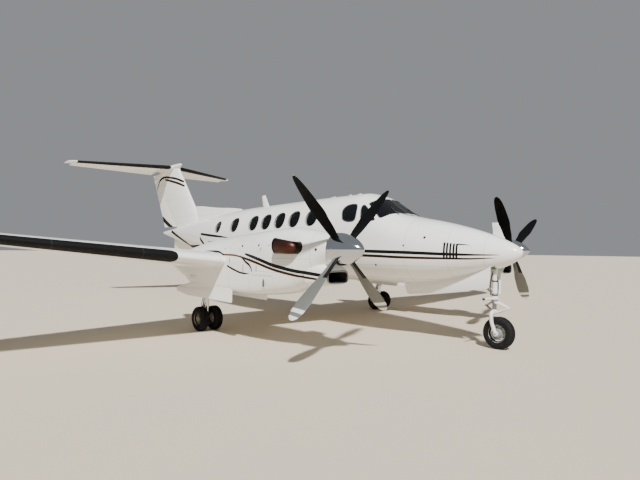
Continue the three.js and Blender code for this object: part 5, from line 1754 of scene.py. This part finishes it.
def makeNoseDoor(name, side):
    points = roundedOutline(noseDoor["outline"], noseDoor["corner"], 4)
    outs = (noseDoor["out"], noseDoor["out"] + noseDoor["thick"])
    plate = skin(f"nose_door_{name}_skin", [[pointAt(s, side * out, z) for s, z in points] for out in outs])
    carve(plate, [ovalBody("room", fuselageTable, (200, 2600), 0, -1, 60, 64)])
    span = stationBlock("span", (400, 2400), (side * 100, side * 300), (700, noseDoor["top"]), 0.0)
    carve(plate, [span], "INTERSECT")
    softenEdges(plate, noseDoor["bevel"], 2, 50)
    dress(plate, "white", nodes=[f"nose_gear_door_{name}"])


for name, side in sides.items():
    makeMainGear(name, side)
    makeGearDoors(name, side)
    makeNoseDoor(name, side)
makeNoseGear()
print("landing gear made")


# Cabin: floor, panel and seats
cushionShape = {"cuts": 7, "crown": 0.16, "pinch": 0.05}
# Rows of a seat: from and to in millimetres ahead of its back; middle, half width, low and high in metres;
# then for a pad its share of the lean and how far that shifts it, and for a frame its edge
seatShape = {
    "lean": 0.16,
    "pads": [
        (105, 520, 0, 0.2, 0.29, 0.41, 0, 0), (2, 105, 0, 0.198, 0.33, 0.82, 1, 0),
        (6, 82, 0, 0.11, 0.83, 0.995, 1, 0.5), (10, 425, -0.22, 0.024, 0.5, 0.585, 0, 0),
        (10, 425, 0.22, 0.024, 0.5, 0.585, 0, 0),
    ],
    "frames": [
        (80, 420, 0, 0.16, 0, 0.28, 0.02), (-8, 500, 0, 0.21, 0.262, 0.3, 0.012),
        (20, 410, -0.22, 0.018, 0.38, 0.52, 0.01), (20, 410, 0.22, 0.018, 0.38, 0.52, 0.01),
    ],
}
# Seats by station and the way they face
cabin = {
    "floor": 1.3903, "pilotSeat": 3050, "pilotOut": 395, "seats": ((4620, -1), (5820, 1), (6560, 1)),
    "out": 420, "lift": 0.004, "track": (6860, 4400), "trackOffset": 0.15, "trackHalf": 0.012,
    "trackHeight": 0.014,
}


def cushion(low, high, lean):
    low, high = Vector(low), Vector(high)
    crown, pinch = cushionShape["crown"], cushionShape["pinch"]
    mesh = bmesh.new()
    bmesh.ops.create_cube(mesh, size=2)
    bmesh.ops.subdivide_edges(mesh, edges=mesh.edges[:], cuts=cushionShape["cuts"], use_grid_fill=True)
    for vert in mesh.verts:
        p = vert.co.copy()
        q = Vector((1 - abs(a) ** 4) for a in p)
        full = Vector(p[i] * (1 - pinch * (1 - q[(i + 1) % 3] * q[(i + 2) % 3])) for i in range(3))
        full = Vector(full[i] * (1 - crown + crown * min(q[(i + 1) % 3], q[(i + 2) % 3])) for i in range(3))
        vert.co = (low + high) / 2 + Vector(a * b / 2 for a, b in zip(full, high - low))
        vert.co.x -= lean * (vert.co.z - low.z)
    bmesh.ops.smooth_vert(
        mesh, verts=mesh.verts, factor=0.5, use_axis_x=True, use_axis_y=True, use_axis_z=True,
    )
    piece = addPiece("pad", mesh)
    subdivision = piece.modifiers.new("round", "SUBSURF")
    subdivision.levels = subdivision.render_levels = 1
    return applyModifiers(piece)


def seatParts(station, y, facing, base):
    x, y, lean = stationX(station), y / 1000, facing * seatShape["lean"]

    def corners(start, end, middle, half, low, high, shift=0):
        near, far = sorted(x + facing * ahead / 1000 - lean * shift for ahead in (start, end))
        return (near, y + middle - half, base + low), (far, y + middle + half, base + high)
    pads = [cushion(*corners(*row, shift), lean * leans) for *row, leans, shift in seatShape["pads"]]
    frames = [block("frame", *corners(*row), edge) for *row, edge in seatShape["frames"]]
    return pads, frames


def makeSeats():
    floor = cabin["floor"]
    for name, side in sides.items():
        pads, frames = seatParts(cabin["pilotSeat"], side * cabin["pilotOut"], 1, floor)
        dress(merged(f"pilot_cushions_{name}", pads), "pilotLeather")
        stand = merged(f"pilot_seat_frame_{name}", frames)
        dress(stand, "panel", nodes=[f"pilot_seat_{name}"])
        pads, frames = [], []
        for station, facing in cabin["seats"]:
            morePads, moreFrames = seatParts(station, side * cabin["out"], facing, floor + cabin["lift"])
            pads += morePads
            frames += moreFrames
        half = cabin["trackHalf"]
        aft, fore = (stationX(station) for station in cabin["track"])
        for way in (-1, 1):
            y = side * cabin["out"] / 1000 + way * cabin["trackOffset"]
            low, high = (aft, y - half, floor), (fore, y + half, floor + cabin["trackHeight"])
            frames.append(block("track", low, high, 0.002))
        dress(merged(f"cabin_cushions_{name}", pads), "leather")
        stand = merged(f"cabin_seat_frames_{name}", frames)
        dress(stand, "lining", nodes=[f"cabin_seats_{name}"])


# Three screens, each in a bezel: half width, low, high, and how far off the panel
panelShape = {
    "station": 2330, "gap": 0.004, "screens": (-0.36, 0, 0.36),
    "bezel": (0.165, 1.86, 2.09, 0.006, 0, 0.003), "screen": (0.145, 1.88, 2.07, 0.009, 0.005, 0.001),
}


def makePanel():
    face = stationX(panelShape["station"]) - panelShape["gap"]
    for kind, name, finish in (("bezel", "panel_bezels", "darkSeal"), ("screen", "panel_screens", "screen")):
        half, low, high, far, near, edge = panelShape[kind]
        parts = [
            block(kind, (face - far, y - half, low), (face - near, y + half, high), edge)
            for y in panelShape["screens"]
        ]
        dress(merged(name, parts), finish)


def keepNode(name, finish):
    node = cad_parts[name]
    node.data.materials.clear()
    node.data.materials.append(finishes[finish])


keepNode("cabin_floor", "carpet")
keepNode("instrument_panel", "panel")
makeSeats()
makePanel()
print("cabin made")


# Small fittings
def smallFin(name, foot, length, height, sweep, thick, taper=0.6, count=20):
    rings = []
    for share, width, chordShare in ((0, 1, 1), (0.5, 1, 1), (0.85, 1, 1), (0.96, 0.7, 0.8), (1.0, 0.7, 0.5)):
        chord = length * (1 - (1 - taper) * share) * chordShare
        ring = []
        for i in range(count):
            turn = math.tau * i / count
            aft = sweep * share + chord * (0.5 - 0.5 * math.cos(turn))
            ring.append(Vector(foot) + Vector((-aft, thick * 0.5 * math.sin(turn) * width, height * share)))
        rings.append(ring)
    return skin(name, rings)


# In metres, but for stations; a wiper's rows are station, distance out and depth, negative above the skin
fittings = {
    "antenna": (6850, 2.72), "aerials": ((3560, 0.16), (3850, 0.12), (4350, 0.2)),
    "mast": [(4.01, 2.975, 1.175), (4.03, 3.0, 1.11), (4.047, 3.01, 1.044)],
    "wiperArm": [(2130, 90, -12), (2250, 190, -14), (2420, 300, -12)],
    "wiperBlade": [(2300, 330, -8), (2420, 300, -8), (2560, 262, -8)],
    "wicks": (6100, 6700, 7300, 7900),
}


def makeFittings():
    station, foot = fittings["antenna"]
    antenna = smallFin("roof_antenna", (stationX(station), 0, foot), 0.26, 0.3, 0.18, 0.03)
    dress(antenna, "white")
    aerials = []
    for station, size in fittings["aerials"]:
        foot = pointAt(station, 0, fuselageTable.at(station)[1] - 10)
        aerials.append(smallFin("aerial", foot, size, 0.035, 0.03, 0.05, 0.7))
    dress(merged("roof_aerials", aerials), "white")
    masts, wipers = [], []
    for side in sides.values():
        masts.append(tube("mast", [(x, side * y, z) for x, y, z in fittings["mast"]], [0.012, 0.016], 12))
        onSkin = onTop(side)
        for key, radius in (("wiperArm", 0.006), ("wiperBlade", 0.007)):
            wipers.append(tube("wiper", curveThrough([onSkin(*row) for row in fittings[key]], 5), radius, 8))
    dress(merged("drain_masts", masts), "darkSeal")
    dress(merged("wipers", wipers), "darkSeal")
    for name, side in sides.items():
        wicks = []
        for out in fittings["wicks"]:
            _, lead, height, chord, _, _ = wingCornerAt(out)
            trail = pointAt(lead + chord, side * out, height)
            ends = [trail + Vector((ahead, 0, 0)) for ahead in (0.02, -0.12)]
            wicks.append(tube("wick", ends, [0.003, 0.0015], 6))
        dress(merged(f"wicks_{name}", wicks), "hose", f"aileron_{name}_body")


makeFittings()
print("fittings made")

# Ground, light and camera
view = {
    "place": (10.5316, -7.6459, 1.6756), "yaw": 2.3456, "pitch": -0.0300, "roll": 0.0105,
    "lens": 27.738, "shift": (-0.0479, 0.0353),
}
studio = {
    "ground": "cdc0ab", "patches": "b7b5ae", "reach": 150, "sky": "e9edf2", "skyStrength": 0.34,
    "sun": 6.8, "sunAngle": 3, "sunWay": (-0.548, 0.423, -0.722),
}


def makeStage():
    mesh = bmesh.new()
    bmesh.ops.create_circle(mesh, cap_ends=True, radius=studio["reach"], segments=96)
    ground = addPiece("studio_floor", mesh)
    finish = Finish("floor_grey", studio["ground"], 0.9)
    finish.stain(0.7, 0.3, 0.8, 0.08, studio["patches"])
    ground.data.materials.append(finish.done())
    world = bpy.data.worlds.new("studio")
    world.use_nodes = True
    background = world.node_tree.nodes["Background"]
    background.inputs["Color"].default_value = paint(studio["sky"])
    background.inputs["Strength"].default_value = studio["skyStrength"]
    bpy.context.scene.world = world
    lamp = bpy.data.lights.new("sun", "SUN")
    lamp.energy = studio["sun"]
    lamp.angle = math.radians(studio["sunAngle"])
    sun = bpy.data.objects.new("sun", lamp)
    sun.rotation_euler = Vector(studio["sunWay"]).to_track_quat("-Z", "Y").to_euler()
    bpy.context.scene.collection.objects.link(sun)
    lens = bpy.data.cameras.new("camera")
    lens.lens = view["lens"]
    lens.sensor_width = 36
    lens.shift_x, lens.shift_y = view["shift"]
    lens.clip_end = 500
    camera = bpy.data.objects.new("camera", lens)
    yaw, pitch, roll = view["yaw"], view["pitch"], view["roll"]
    ahead = Vector((math.cos(yaw) * math.cos(pitch), math.sin(yaw) * math.cos(pitch), math.sin(pitch)))
    right = Vector((math.sin(yaw), -math.cos(yaw), 0))
    up = right.cross(ahead)
    turnedRight = right * math.cos(roll) + up * math.sin(roll)
    turnedUp = up * math.cos(roll) - right * math.sin(roll)
    camera.matrix_world = Matrix((turnedRight, turnedUp, -ahead)).transposed().to_4x4()
    camera.location = view["place"]
    bpy.context.scene.collection.objects.link(camera)
    bpy.context.scene.camera = camera


makeStage()
print("stage made")
